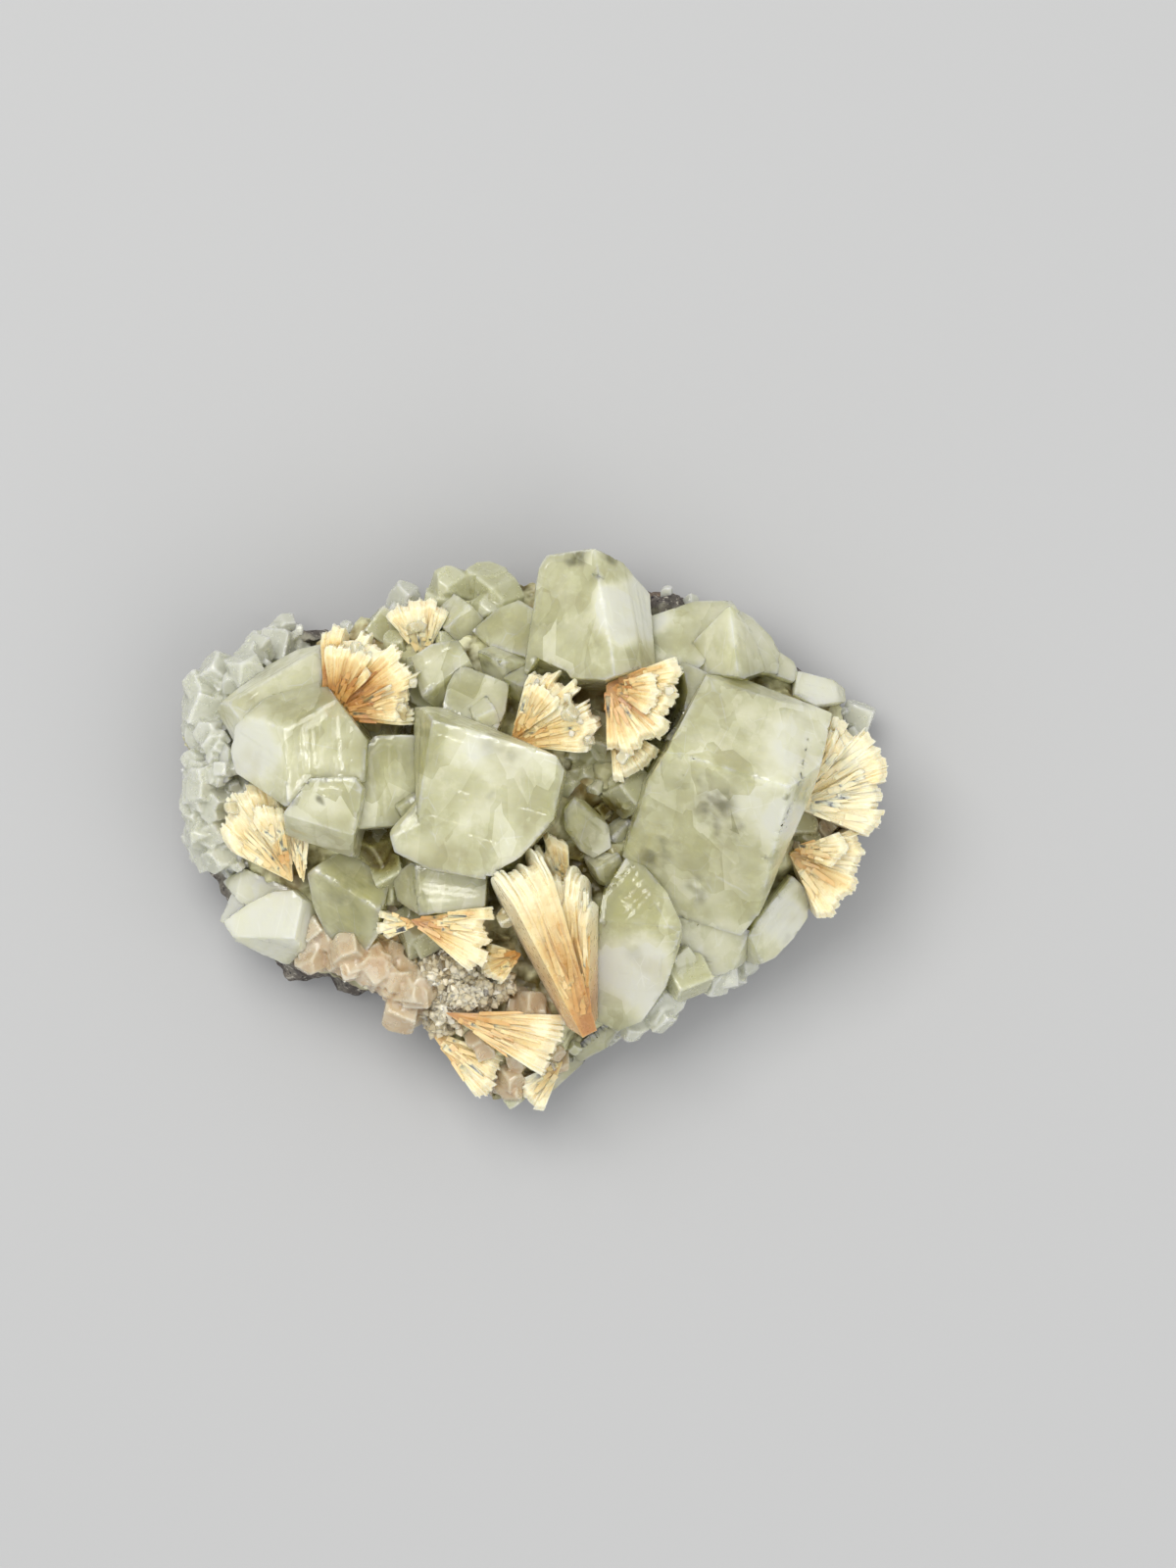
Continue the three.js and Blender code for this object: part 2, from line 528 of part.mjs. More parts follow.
// Pale blocks along the rim, lower than the crystals behind them.
const RIM = {
  rim_west: [
    crystal({
      plan: [[-59.4, 10.4], [-57, 13], [-52.5, 15.4], [-50.5, 13], [-50.6, 6], [-55, 5], [-59.4, 6.4]],
      facets: [
        [[-59.2, 9, 17], [-51, 13.6, 29], [-51, 7, 29]],
        [[-58, 12, 18], [-52.6, 15.4, 24], [-52, 11, 29]],
      ],
      foot: 8,
    }),
    crystal({
      plan: [[-59.7, 8], [-55, 8.6], [-50.6, 6.6], [-51, 0], [-55.5, -1], [-58.7, 1.4], [-59.5, 5]],
      facets: [
        [[-59.4, 6, 16], [-51, 6, 27], [-52, 0, 26]],
        [[-58.6, 2, 15.5], [-55.5, -0.8, 18], [-53, 3, 26]],
      ],
      foot: 7,
    }),
    crystal({
      plan: [[-58, 0.8], [-51, 1.6], [-48.8, -6], [-52.3, -8.3], [-54.8, -4.6]],
      facets: [
        [[-57.8, 0.6, 15], [-51.2, 1, 24], [-49.4, -6, 22]],
        [[-57.6, 0.4, 15], [-52.4, -8, 15], [-51, -3, 24]],
      ],
      foot: 7,
    }),
  ],
  rim_southeast: [
    crystal({
      plan: [[34, -22.9], [33, -24.2], [28.2, -26.6], [25.2, -28], [24, -25], [30, -20.6]],
      facets: [[[33, -24, 17], [25.4, -27.8, 16.4], [28, -21, 21]]],
      foot: 8,
    }),
    crystal({
      plan: [[25.3, -27.9], [23.3, -29.7], [20, -30.8], [18, -32.9], [17.2, -29.6], [22, -26.4]],
      facets: [[[23.3, -29.6, 15.4], [18, -32.8, 15], [20.6, -27, 20]]],
      foot: 8,
    }),
    crystal({
      plan: [[17.9, -33], [14.5, -35], [12, -37.4], [9.2, -38.8], [9.8, -35.4], [15.6, -30.8]],
      facets: [[[17.6, -33, 14.6], [10, -38.4, 13.4], [12.6, -33.4, 19]]],
      foot: 7,
    }),
  ],
  rim_northwest: [
    crystal({
      plan: [[-56.8, 15.4], [-56.2, 22.2], [-54.3, 24.8], [-51.8, 23.4], [-53.4, 20.2], [-51, 16.4],
        [-53, 14.9]],
      facets: [[[-56.6, 16, 16], [-55, 24, 16], [-51.4, 17, 25]]],
      foot: 8,
    }),
    crystal({
      plan: [[-53.9, 24.9], [-51.4, 26.4], [-50.2, 28.4], [-47, 29.6], [-44.6, 27.6], [-50, 22.8],
        [-52.6, 22.4]],
      facets: [
        [[-53.6, 24.8, 17], [-50, 28, 18], [-50, 23, 25.5]],
        [[-50, 28.2, 18], [-46, 29, 20], [-48, 25, 26]],
      ],
      foot: 8,
    }),
    crystal({
      plan: [[-44.6, 29.6], [-43.5, 31.6], [-41, 32.4], [-37, 32.2], [-36, 30.8], [-38, 29], [-43.6, 28]],
      facets: [[[-43.6, 31.4, 21], [-37, 32, 22], [-40, 28.4, 26.5]]],
      foot: 10,
    }),
  ],
};

// Small crystals fused to the crust, scattered along the rim and in the gaps: x, y, z and size.
const CRUST_CUBELETS = [
  [-49.5, -18, 11, 5], [-44, -20.5, 12.5, 4.6], [-54.2, -7, 11, 4.4], [-57, -1, 11, 4.4],
  [-56, 13.6, 12, 4.6], [-54, 26, 11.5, 4.2], [-47.6, 29, 12.5, 4.6], [-33, 30.4, 18, 5],
  [-28, 32, 17, 4.8], [-13, 37, 15, 5], [-9, 38, 14.5, 4], [-1.6, 38.6, 15, 4.4], [18, 37, 17, 5],
  [38, 31, 14, 4.6], [47, 22.6, 14, 4.8], [40, -19.6, 12, 4.6], [33, -21.8, 13, 4.4], [27, -25.6, 12, 4.6],
  [22.4, -27.6, 12, 5], [17, -31, 11.5, 4.6], [11.6, -36, 10, 4.4], [8.4, 8, 23, 5], [15.6, 5, 21.6, 4.6],
  [7.6, -7, 22.6, 4.6], [-25.6, -3, 23, 5], [-6.8, -10, 24, 5], [-6, -18, 22.6, 5], [-10, 28, 24, 5],
  [-17, 27, 24, 5], [-22.8, 17, 24, 5],
];

// The peach sheaves.
const STILBITE = {
  stilbite_northwest: sheaf({
    root: [-34.4, 18.6, 34], aim: 44, rise: 10, spread: 96, length: 17.6, blades: 8, round: 0.1, seed: 1,
  }),
  stilbite_north_left: sheaf({
    root: [-3.6, 14.2, 37], aim: 34, rise: 12, spread: 78, length: 15.6, deep: 10, round: 0.12, seed: 2,
  }),
  stilbite_north_right: [
    ...sheaf({
      root: [12.2, 24, 38], aim: -34, rise: 4, spread: 110, length: 13.4, deep: 9, blades: 8, seed: 3,
    }),
    crystal({
      plan: [[11, 13], [20.5, 13], [22.8, 14], [20.8, 10.9], [18, 8.9], [12.8, 6.2], [11.2, 8.4]],
      facets: [
        [[11, 12, 41], [21, 13.5, 41], [14, 7, 38.5]],
        [[20.4, 11, 40], [13, 6.6, 38.4], [18, 7, 34]],
      ],
      foot: 30,
    }),
  ],
  stilbite_east_upper: sheaf({
    root: [44.2, 4.6, 27], aim: 47, rise: -6, spread: 82, length: 17.2, deep: 9, seed: 4,
  }),
  stilbite_east_middle: sheaf({
    root: [43.4, 3.6, 27], aim: 4, rise: -6, spread: 52, length: 16.2, deep: 9, neck: 2.2, round: 0.1,
    seed: 5,
  }),
  stilbite_east_lower: sheaf({
    root: [42.6, -4.2, 24], aim: -22, rise: -8, spread: 88, length: 14, seed: 6,
  }),
  stilbite_center: [
    ...sheaf({
      root: [8.4, -33.4, 34], aim: 109.5, rise: 17, roll: 18, spread: 15, length: 32.5, deep: 12,
      blades: 4, round: 0, neck: 2, seed: 7,
    }),
    ...sheaf({
      root: [8.6, -32.6, 34], aim: 99, rise: 15, spread: 18, length: 26, deep: 9, blades: 4, round: 0,
      seed: 21,
    }),
    ...sheaf({
      root: [8.6, -32.6, 34], aim: 90.5, rise: 16, roll: -16, spread: 10, length: 27, deep: 11,
      blades: 3, seed: 8,
    }),
  ],
  stilbite_center_back: sheaf({
    root: [6, -12, 31], aim: 108, rise: 18, spread: 30, length: 12.6, deep: 6, blades: 4, seed: 9,
  }),
  stilbite_small: sheaf({
    root: [-2.2, -21, 28], aim: 200, rise: 10, spread: 72, length: 7, deep: 6, blades: 5, seed: 10,
  }),
  stilbite_bow_tie: [
    ...sheaf({ root: [-20.4, -15.2, 33.4], aim: -16, rise: 6, spread: 50, length: 14.8, deep: 7, seed: 11 }),
    ...sheaf({
      root: [-18.8, -15.8, 33], aim: 184, rise: -6, spread: 44, length: 7.4, deep: 6, blades: 4, seed: 12,
    }),
  ],
  stilbite_west: sheaf({
    root: [-40.2, -9, 29], aim: 123, rise: 2, spread: 60, length: 20.4, deep: 9, neck: 2, round: 0.34,
    seed: 13,
  }),
  stilbite_west_plate: sheaf({
    root: [-38.4, -9, 29], aim: 98, rise: 8, spread: 30, length: 10.6, deep: 6, blades: 4, seed: 14,
  }),
  stilbite_south: sheaf({
    root: [-14.6, -31, 22.6], aim: -17, rise: 6, spread: 32, length: 21, blades: 6, neck: 3, seed: 15,
  }),
  stilbite_south_rim_left: sheaf({
    root: [-17.6, -34.2, 17], aim: -36, rise: 2, spread: 38, length: 15.4, deep: 7, blades: 6, foot: 10,
    seed: 16,
  }),
  stilbite_south_rim_right: sheaf({
    root: [5, -39.2, 16], aim: 226, rise: -4, spread: 46, length: 9.8, deep: 6, blades: 5, foot: 9, seed: 17,
  }),
  stilbite_pink_mass: [
    ...sheaf({
      root: [-19.4, -17.4, 20], aim: 207, rise: -2, spread: 46, length: 15.4, deep: 9, blades: 6, neck: 3,
      foot: 10, seed: 18,
    }),
    ...sheaf({
      root: [-20.6, -18.4, 20], aim: 262, rise: -10, spread: 52, length: 12.6, deep: 9, blades: 5, neck: 3,
      foot: 10, seed: 19,
    }),
  ],
  stilbite_north_rim: sheaf({
    root: [-18.4, 28.6, 22], aim: 97, rise: 6, spread: 70, length: 10.4, neck: 2.4, seed: 20,
  }),
};

// A low bed of tiny grey crystals in the south-west corner.
const DRUSE = {
  quartz_druse: [
    crystal({
      plan: [[-17.6, -21.6], [-11.6, -24.6], [-7, -24.6], [-4.6, -26], [-5.6, -28.6], [-9.6, -31.4],
        [-12.6, -34.6], [-17.4, -34.4], [-19.4, -30], [-19.4, -25]],
      facets: [
        [[-16, -23, 26], [-5, -26, 26.5], [-14, -34, 20.5]],
        [[-15, -24, 26], [-15.6, -33, 21], [-19.4, -28, 19]],
      ],
      foot: 12,
    }),
    cubelet(-15.4, -24.6, 24.6, 4, [30, 20, 40]),
    cubelet(-11.6, -27.6, 24.4, 3.8, [10, 40, 30]),
    cubelet(-8, -26.2, 25, 3.6, [40, 15, 10]),
    cubelet(-14.4, -30.6, 21.6, 4.2, [25, 35, 60]),
    cubelet(-5.6, -25.4, 25.4, 3.2, [35, 30, 20]),
  ],
};

// Lumps of rock that show between the crystals at the rim: their middle, and their radii.
// A corner stands at a share of the radii: the smallest share, and how much more the largest is.
const LUMP_FOOT = 2;
const LUMP_SHARES = [0.96, 0.26];
const ROCK_LUMPS = [
  { at: [21.8, 36.2, 9], radii: [3.6, 3.6, 11] },
  { at: [7.6, 42.8, 10], radii: [5, 3.8, 10] },
  { at: [-6, 35.6, 7], radii: [7, 4.6, 9] },
  { at: [-29.6, 30.6, 7], radii: [4, 3.8, 9.5] },
  { at: [-39.6, 29, 7], radii: [7, 5, 10.5] },
  { at: [-21, 34, 6], radii: [7, 5, 8.5] },
  { at: [-38.4, -21.6, 5], radii: [6, 5, 10] },
  { at: [-30, -23.6, 4], radii: [6, 4.6, 8.6] },
  { at: [-21.6, -27.2, 4], radii: [4, 3.4, 9] },
];

function lump({ at, radii }, seed) {
  const random = stream(seed);
  const shape = new THREE.IcosahedronGeometry(1);
  return cornersOf(solidOf(shape)).map((corner) => {
    const share = LUMP_SHARES[0] + LUMP_SHARES[1] * random();
    corner.multiply(new THREE.Vector3(...radii).multiplyScalar(share));
    corner.add(new THREE.Vector3(...at));
    return corner.setZ(Math.max(corner.z, LUMP_FOOT));
  });
}

// Cutting and joining

// Two rows of little crystals all around the rim, each row with its share of the edge's distance
// and its height.
const RIM_CUBELETS = 44;
const RIM_ROWS = [{ share: 0.9, z: 12 }, { share: 0.84, z: 16.5 }];
const RIM_CUBELET_SIZES = [5, 2.4]; // the smallest, and how much more the largest has
const CUBELET_KEPT = 0.45; // of its volume, or it is left out

function rimCubelets() {
  const random = stream(41);
  return Array.from({ length: RIM_CUBELETS }, (_, i) => {
    const angle = (2 * Math.PI * (i + 0.6 * random())) / RIM_CUBELETS;
    const row = RIM_ROWS[i % RIM_ROWS.length];
    const far = edgeDistance(angle) * row.share;
    const z = row.z + 2 * random();
    const size = RIM_CUBELET_SIZES[0] + RIM_CUBELET_SIZES[1] * random();
    return [far * Math.cos(angle), far * Math.sin(angle), z, size];
  });
}

const rockSlab = (grow) => slab(ROCK_PROFILE, ROCK_SECTORS, ROCK_ROUGHNESS, grow, 11);
const crustCore = (grow) => slab(CRUST_PROFILE, CRUST_SECTORS, CRUST_ROUGHNESS, grow, 23);
const rockLumps = ROCK_LUMPS.map((spec, i) => lump(spec, 31 + i));
const crustCubelets = [...CRUST_CUBELETS, ...rimCubelets()].map(([x, y, z, size], i) =>
  cubelet(x, y, z, size, [37 * i, 23 * i + 15, 51 * i].map((turn) => turn % 90)),
);

// Neighbours higher in this list keep their shape, and cut the ones below them.
const FIRST = [
  "stilbite_center", "apophyllite_east", "apophyllite_center", "apophyllite_southeast",
  "stilbite_north_right", "stilbite_north_left", "apophyllite_north", "stilbite_northwest",
  "stilbite_bow_tie", "stilbite_west",
];
const ALL = { ...APOPHYLLITE, ...STILBITE, ...DRUSE, ...RIM };
const ORDER = [...FIRST, ...Object.keys(ALL).filter((name) => !FIRST.includes(name))];

function boxesMeet(a, b) {
  const [p, q] = [a.boundingBox(), b.boundingBox()];
  return [0, 1, 2].every((axis) => p.min[axis] < q.max[axis] && q.min[axis] < p.max[axis]);
}

// What is left of a solid beside its neighbours, without the crumbs that the cuts leave.
function cutBy(solid, neighbours) {
  const cut = neighbours
    .filter((other) => boxesMeet(solid, other))
    .reduce((left, other) => left.subtract(other), solid);
  return cut.decompose().sort((a, b) => b.volume() - a.volume())[0];
}

// The same for a little crystal, which is left out where most of it would be cut away.
function keptBy(solid, neighbours) {
  const cut = cutBy(solid, neighbours);
  return cut && cut.volume() > CUBELET_KEPT * solid.volume() ? cut : undefined;
}

// The room that a piece needs. A sheaf takes one smooth wedge, and not a slot for every blade.
function clearance(name, parts) {
  if (!name.startsWith("stilbite")) return union(parts.map((part) => grownHull(part)));
  const sheaves = Object.groupBy(parts, ([stem]) => stem.toArray().join());
  return union(Object.values(sheaves).map((blades) => grownHull(cornersOf(hull(blades.flat())))));
}

const solids = new Map();
const clearances = [];
const floor = [crustCore(GAP), rockSlab(GAP)];
for (const name of ORDER) {
  const whole = union(ALL[name].map(hull));
  solids.set(name, cutBy(whole, [...clearances, ...floor]).simplify(TIDY));
  clearances.push(clearance(name, ALL[name]));
}
const rockCover = [rockSlab(GAP), ...rockLumps.map((part) => grownHull(part))];
const lumps = rockLumps.map((part) => cutBy(hull(part), clearances));
const cubelets = crustCubelets
  .map((part) => keptBy(hull(part), [...clearances, ...rockCover]))
  .filter(Boolean);
solids.set("basalt_matrix", union([rockSlab(0), ...lumps]).simplify(TIDY));
solids.set("pale_crust", cutBy(union([crustCore(0), ...cubelets]), rockCover).simplify(TIDY));

// Materials and the scene graph

const finish = (color, roughness) =>
  new THREE.MeshStandardMaterial({ color, roughness, metalness: 0, flatShading: true });
const FINISHES = {
  apophyllite: finish(0xd3dfb9, 0.25),
  stilbite: finish(0xefd3a6, 0.4),
  rim: finish(0xd9dfd0, 0.35),
  pale: finish(0xc9cbb0, 0.5),
  quartz: finish(0xb9b3a0, 0.3),
  basalt: finish(0x4a4742, 0.9),
};

function meshOf(name, solid) {
  const { vertProperties, triVerts, numProp } = solid.getMesh();
  const corners = new Float32Array((vertProperties.length / numProp) * 3);
  for (let i = 0; i < corners.length / 3; i++)
    corners.set(vertProperties.subarray(i * numProp, i * numProp + 3), i * 3);
  const geometry = new THREE.BufferGeometry();
  geometry.setAttribute("position", new THREE.BufferAttribute(corners, 3));
  geometry.setIndex(new THREE.BufferAttribute(triVerts, 1));
  geometry.computeVertexNormals();
  const mesh = new THREE.Mesh(geometry, FINISHES[name.split("_")[0]]);
  mesh.name = name;
  return mesh;
}

const specimen = new THREE.Group();
specimen.name = "zeolite_specimen";
for (const [name, solid] of solids) specimen.add(meshOf(name, solid));

export default specimen;
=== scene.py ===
"""A zeolite specimen: green apophyllite crystals and peach stilbite sheaves on dark basalt."""

import math

import bmesh
import bpy
import numpy as np
from bpy.props import FloatProperty, FloatVectorProperty, IntProperty, PointerProperty
from mathutils import Matrix, Vector


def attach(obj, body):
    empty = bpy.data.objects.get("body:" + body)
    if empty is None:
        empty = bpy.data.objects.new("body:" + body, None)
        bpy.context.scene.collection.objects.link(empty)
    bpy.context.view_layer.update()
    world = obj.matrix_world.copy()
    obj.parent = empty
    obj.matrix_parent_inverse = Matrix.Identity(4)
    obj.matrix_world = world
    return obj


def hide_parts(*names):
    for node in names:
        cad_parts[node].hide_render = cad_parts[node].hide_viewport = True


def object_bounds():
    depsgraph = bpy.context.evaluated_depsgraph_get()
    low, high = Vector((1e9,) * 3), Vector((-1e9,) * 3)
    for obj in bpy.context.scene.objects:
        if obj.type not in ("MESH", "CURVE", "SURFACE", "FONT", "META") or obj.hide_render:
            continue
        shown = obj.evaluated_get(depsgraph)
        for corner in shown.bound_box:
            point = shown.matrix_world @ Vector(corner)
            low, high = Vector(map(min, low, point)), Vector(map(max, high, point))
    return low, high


bl_info = {
    "name": "Zeolite specimen",
    "version": (1, 0, 0),
    "blender": (4, 5, 0),
    "location": "3D View > Sidebar > Specimen",
    "description": "Builds a cluster of apophyllite and stilbite crystals on basalt",
    "category": "Add Mesh",
}

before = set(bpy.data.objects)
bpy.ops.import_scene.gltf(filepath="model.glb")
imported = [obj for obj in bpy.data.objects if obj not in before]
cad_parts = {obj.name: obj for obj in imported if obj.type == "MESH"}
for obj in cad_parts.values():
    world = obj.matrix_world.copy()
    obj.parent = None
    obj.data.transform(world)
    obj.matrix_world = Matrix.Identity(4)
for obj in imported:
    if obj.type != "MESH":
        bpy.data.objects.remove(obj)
CAD_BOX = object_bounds()

MM = 0.001
WHOLE = "root"  # the one body, which every piece rides on

# The camera looks straight down from this distance in m, on a point of the specimen.

MM_PER_PIXEL = 0.165
IMAGE_LONG_SIDE = 1600
AIM = Vector((9.1, 7.4, 20)) * MM
CAMERA_DISTANCE = 1.3
SENSOR = 36

# The lamps: place and size in m, power in W, and colour. The floor reaches this far, in m.

LAMPS = {
    "key": ((-0.3, 0.4, 1.1), 0.7, 9.8, (1, 0.985, 0.95)),
    "fill": ((0.5, -0.4, 0.9), 0.9, 3.6, (1, 0.99, 0.97)),
}
SKY = (0.95, 0.97, 1, 1)
SKY_STRENGTH = 0.72
FLOOR_REACH = 6

# Edge lengths of the beds' meshes and of the rock's, in mm, the rows of a sheaf's top and of its
# walls, and how many kinds of small block there are.

QUARTZ_GRAIN = 0.36
CRUST_GRAIN = 0.5
ROCK_GRAIN = 0.55
FAN_ROWS = 44
WALL_ROWS = 8
BLOCK_KINDS = 14

# Smaller faces of a crystal than this, in square mm, get no growth steps.

SMALLEST_FACET = 5

# Seeds, so that each run makes the same specimen.

SEEDS = dict(rim=11, apophyllite=7, stilbite=900, druse=31, small_crystals=21)

# The sheaves. Each fan of a sheaf opens from its root, whose place is in mm. aim is the way that it
# opens, in degrees from east, rise how steeply it climbs and roll how far it leans to a side.
# spread is its opening in degrees. It goes from start to length in mm along the fibres, and neck
# is half its depth at the root, deep its whole depth at the tips and foot the height at which its
# walls end. round is the share by which its outer blades are shorter, and warm says how orange it
# is.

SHEAVES = {
    "stilbite_northwest": [
        dict(root=(-34.4, 18.6, 34), aim=44, rise=10, spread=96, length=17.6, deep=8, round=0.14, warm=2.3),
        dict(root=(-33.2, 19.8, 35), aim=70, rise=21, spread=50, length=12.6, deep=6, warm=2.4),
        dict(root=(-32, 19.2, 35), aim=10, rise=14, spread=36, length=12.6, deep=5, warm=1.4),
    ],
    "stilbite_north_left": [
        dict(root=(-3.6, 14.2, 37), aim=34, rise=12, spread=78, length=15.6, deep=10, round=0.12, warm=0.8),
        dict(root=(-2.4, 15.8, 39), aim=58, rise=24, spread=42, length=10.8, deep=6, warm=0.9),
    ],
    "stilbite_north_right": [
        dict(root=(12.2, 24.0, 38), aim=-34, rise=4, spread=110, length=13.4, deep=9, round=0.06, warm=1.3),
        dict(root=(13.4, 23.2, 40), aim=-8, rise=20, spread=56, length=9, deep=5, warm=1.8),
        dict(root=(12.6, 18.0, 35), aim=-58, rise=2, spread=56, length=11.4, deep=8, warm=0.4),
    ],
    # The east upper and middle fans are less warm, so paler, partly as painted light on faces that tilt away
    # from the key lamp.
    "stilbite_east_upper": [
        dict(root=(44.2, 4.6, 27), aim=47, rise=-6, spread=82, length=17.2, deep=9, round=0.05, warm=-0.3),
        dict(root=(45.6, 6.6, 29.6), aim=68, rise=10, spread=42, length=11.6, deep=6, warm=-0.2),
    ],
    "stilbite_east_middle": [
        dict(root=(43.4, 3.6, 27), aim=4, rise=-6, spread=52, length=16.2, deep=9, neck=2.2, warm=-0.5),
    ],
    "stilbite_east_lower": [
        dict(root=(42.6, -4.2, 24), aim=-22, rise=-8, spread=88, length=14, deep=8, round=0.08, warm=0.3),
        dict(root=(43.6, -3.6, 26.4), aim=-2, rise=8, spread=46, length=9.6, deep=5, warm=0.8),
    ],
    "stilbite_center": [
        dict(
            root=(13.2, -45.8, 30), aim=112.4, rise=17, roll=14, spread=11, length=47.6, start=14, deep=12,
            round=0, neck=4, warm=0.9,
        ),
        dict(root=(8.6, -32.6, 34), aim=99, rise=15, spread=20, length=27.5, deep=9, round=0, warm=2.2),
        dict(
            root=(9.6, -42.6, 31), aim=93, rise=16, roll=-16, spread=8, length=38, start=10, deep=11,
            round=0.04, warm=1.3,
        ),
    ],
    "stilbite_center_back": [
        dict(root=(6, -12, 31), aim=108, rise=18, spread=30, length=12.6, deep=6, warm=0.6),
    ],
    "stilbite_small": [
        dict(root=(-2.2, -21, 28), aim=200, rise=10, spread=72, length=7, deep=6, warm=1.2),
    ],
    "stilbite_bow_tie": [
        dict(root=(-20.4, -15.2, 33.4), aim=-16, rise=6, spread=50, length=14.8, deep=7, round=0.04, warm=1),
        dict(root=(-18.8, -15.8, 33), aim=184, rise=-6, spread=44, length=7.4, deep=6, round=0.04),
    ],
    "stilbite_west": [
        dict(
            root=(-40.2, -9, 29), aim=123, rise=2, spread=60, length=20.4, deep=9, round=0.34, neck=2,
            warm=-0.1,
        ),
        dict(root=(-40.8, -6.6, 31.4), aim=110, rise=14, spread=32, length=13.6, deep=6),
    ],
    "stilbite_west_plate": [
        dict(root=(-38.4, -9, 29), aim=98, spread=30, length=10.6, deep=6, round=0.05, warm=-0.3),
    ],
    "stilbite_south": [
        dict(
            root=(-14.6, -31, 22.6), aim=-17, rise=6, spread=32, length=21, deep=8, round=0.06, neck=3,
            warm=1,
        ),
    ],
    "stilbite_south_rim_left": [
        dict(
            root=(-17.6, -34.2, 17), aim=-36, rise=2, spread=38, length=16, deep=7, round=0.06, foot=10,
            warm=0.6,
        ),
    ],
    "stilbite_south_rim_right": [
        dict(
            root=(5, -39.2, 16), aim=226, rise=-4, spread=46, length=9.8, deep=6, round=0.05, foot=9,
            warm=0.1,
        ),
    ],
    "stilbite_pink_mass": [
        dict(
            root=(-19.4, -17.4, 20), aim=207, rise=-2, spread=46, length=15.4, deep=9, neck=3, foot=10,
            warm=0.4,
        ),
        dict(root=(-20.6, -18.4, 20), aim=262, rise=-10, spread=52, length=12.6, deep=9, neck=3, foot=10),
    ],
    "stilbite_north_rim": [
        dict(
            root=(-18.4, 28.6, 22), aim=97, rise=6, spread=70, length=10.4, deep=8, round=0.04, neck=2.4,
            warm=-0.3,
        ),
    ],
}

# What a fan has where it says nothing else, and its plates' and thinner blades' width in mm and
# least number.

SHEAF_USUAL = dict(rise=8, roll=0, round=0.1, neck=1.6, foot=14, warm=0.5, start=0.25)
PLATE_WIDTH, LEAST_PLATES = 2.6, 4
BLADE_WIDTH, LEAST_BLADES = 0.55, 12

# Milky and greener places in the crystals: x, y and radius in mm, and how milky (below 0: greener).

MILKY_AND_PAINTED_LIGHT = [
    (45, 13, 9, 0.35), (38, 15, 9, 0.15), (42, 2, 4, 0.9), (30, 3, 11, -0.02), (22, -4, 7, -0.04),
    (34, -8, 9, -0.16), (16, 36, 7, 0.9), (5, 35, 8, 0.15), (-6, 5, 10, 0.1), (-17, 12, 5, -0.12),
    (-10, 14, 5, 0.2), (-46, 14, 6, 0.5), (-39, 22, 6, -0.1), (-34, 13, 6, 0.2), (-35, 4, 5, 0.1),
    (-23, 8, 5, 0.1), (-46, -15, 9, 1.2), (-31, -12, 7, -0.1), (16, -23, 8, 0.6), (15, -10, 6, -0.2),
    (29, -20, 6, 0.1), (-13, -11, 6, 0.1), (33, 32, 8, 0.25), (23, 32, 6, 0.05), (48, 23, 5, 0.5),
    (41, -15, 5, 0.6), (-14, 27, 5, 0.2), (-9, 22, 5, 0.1), (-5, 28, 5, 0.2), (-5, 34, 6, -0.1),
    # (24, -30) is no milky place: it is made paler as painted light, on a tilted face that falls in shade.
    (8, 0, 5, -0.4), (24, -30, 9, 0.5), (-53, 10, 12, 0.4),
]

# Brown smudges and dark specks on the crystals: x, y and radius in mm, and how dark.

SMUDGES = [
    (30.5, 4, 5, 0.8), (32, 0.5, 3.6, 0.8), (20.5, -3.5, 4, 0.7), (27, -10, 3.6, 0.5),
    (29, 8, 2.4, 0.6), (41.7, 5.8, 0.7, 1.0), (-7, 5.7, 1.5, 0.4), (-6.4, 14, 3, 0.35),
    (-3, 12, 2, 0.4), (-34.6, 4.6, 1.1, 0.8), (7.6, 46.2, 3.6, 1.0), (13, 45, 1.8, 0.9),
    (-44.6, 26.8, 3, 0.4), (24, -19.4, 1.2, 0.6), (-30.5, -11, 6, 0.35), (43, -19.5, 2, 0.3),
    (-21, 3.4, 2.4, 0.3), (38.6, 25.2, 2, 0.5), (-7.6, 28, 2.2, 0.5), (17, -20, 3, 0.2),
    (-38, 15, 4, 0.25),
]

# The small crystals. Each area where a group grows is x, y and radius in mm. number is how many
# places are tried, sizes the smallest and largest width in mm, on how the names of the pieces that
# they may stand on start, and stops their colours from the deepest tone (0) to the palest (1).

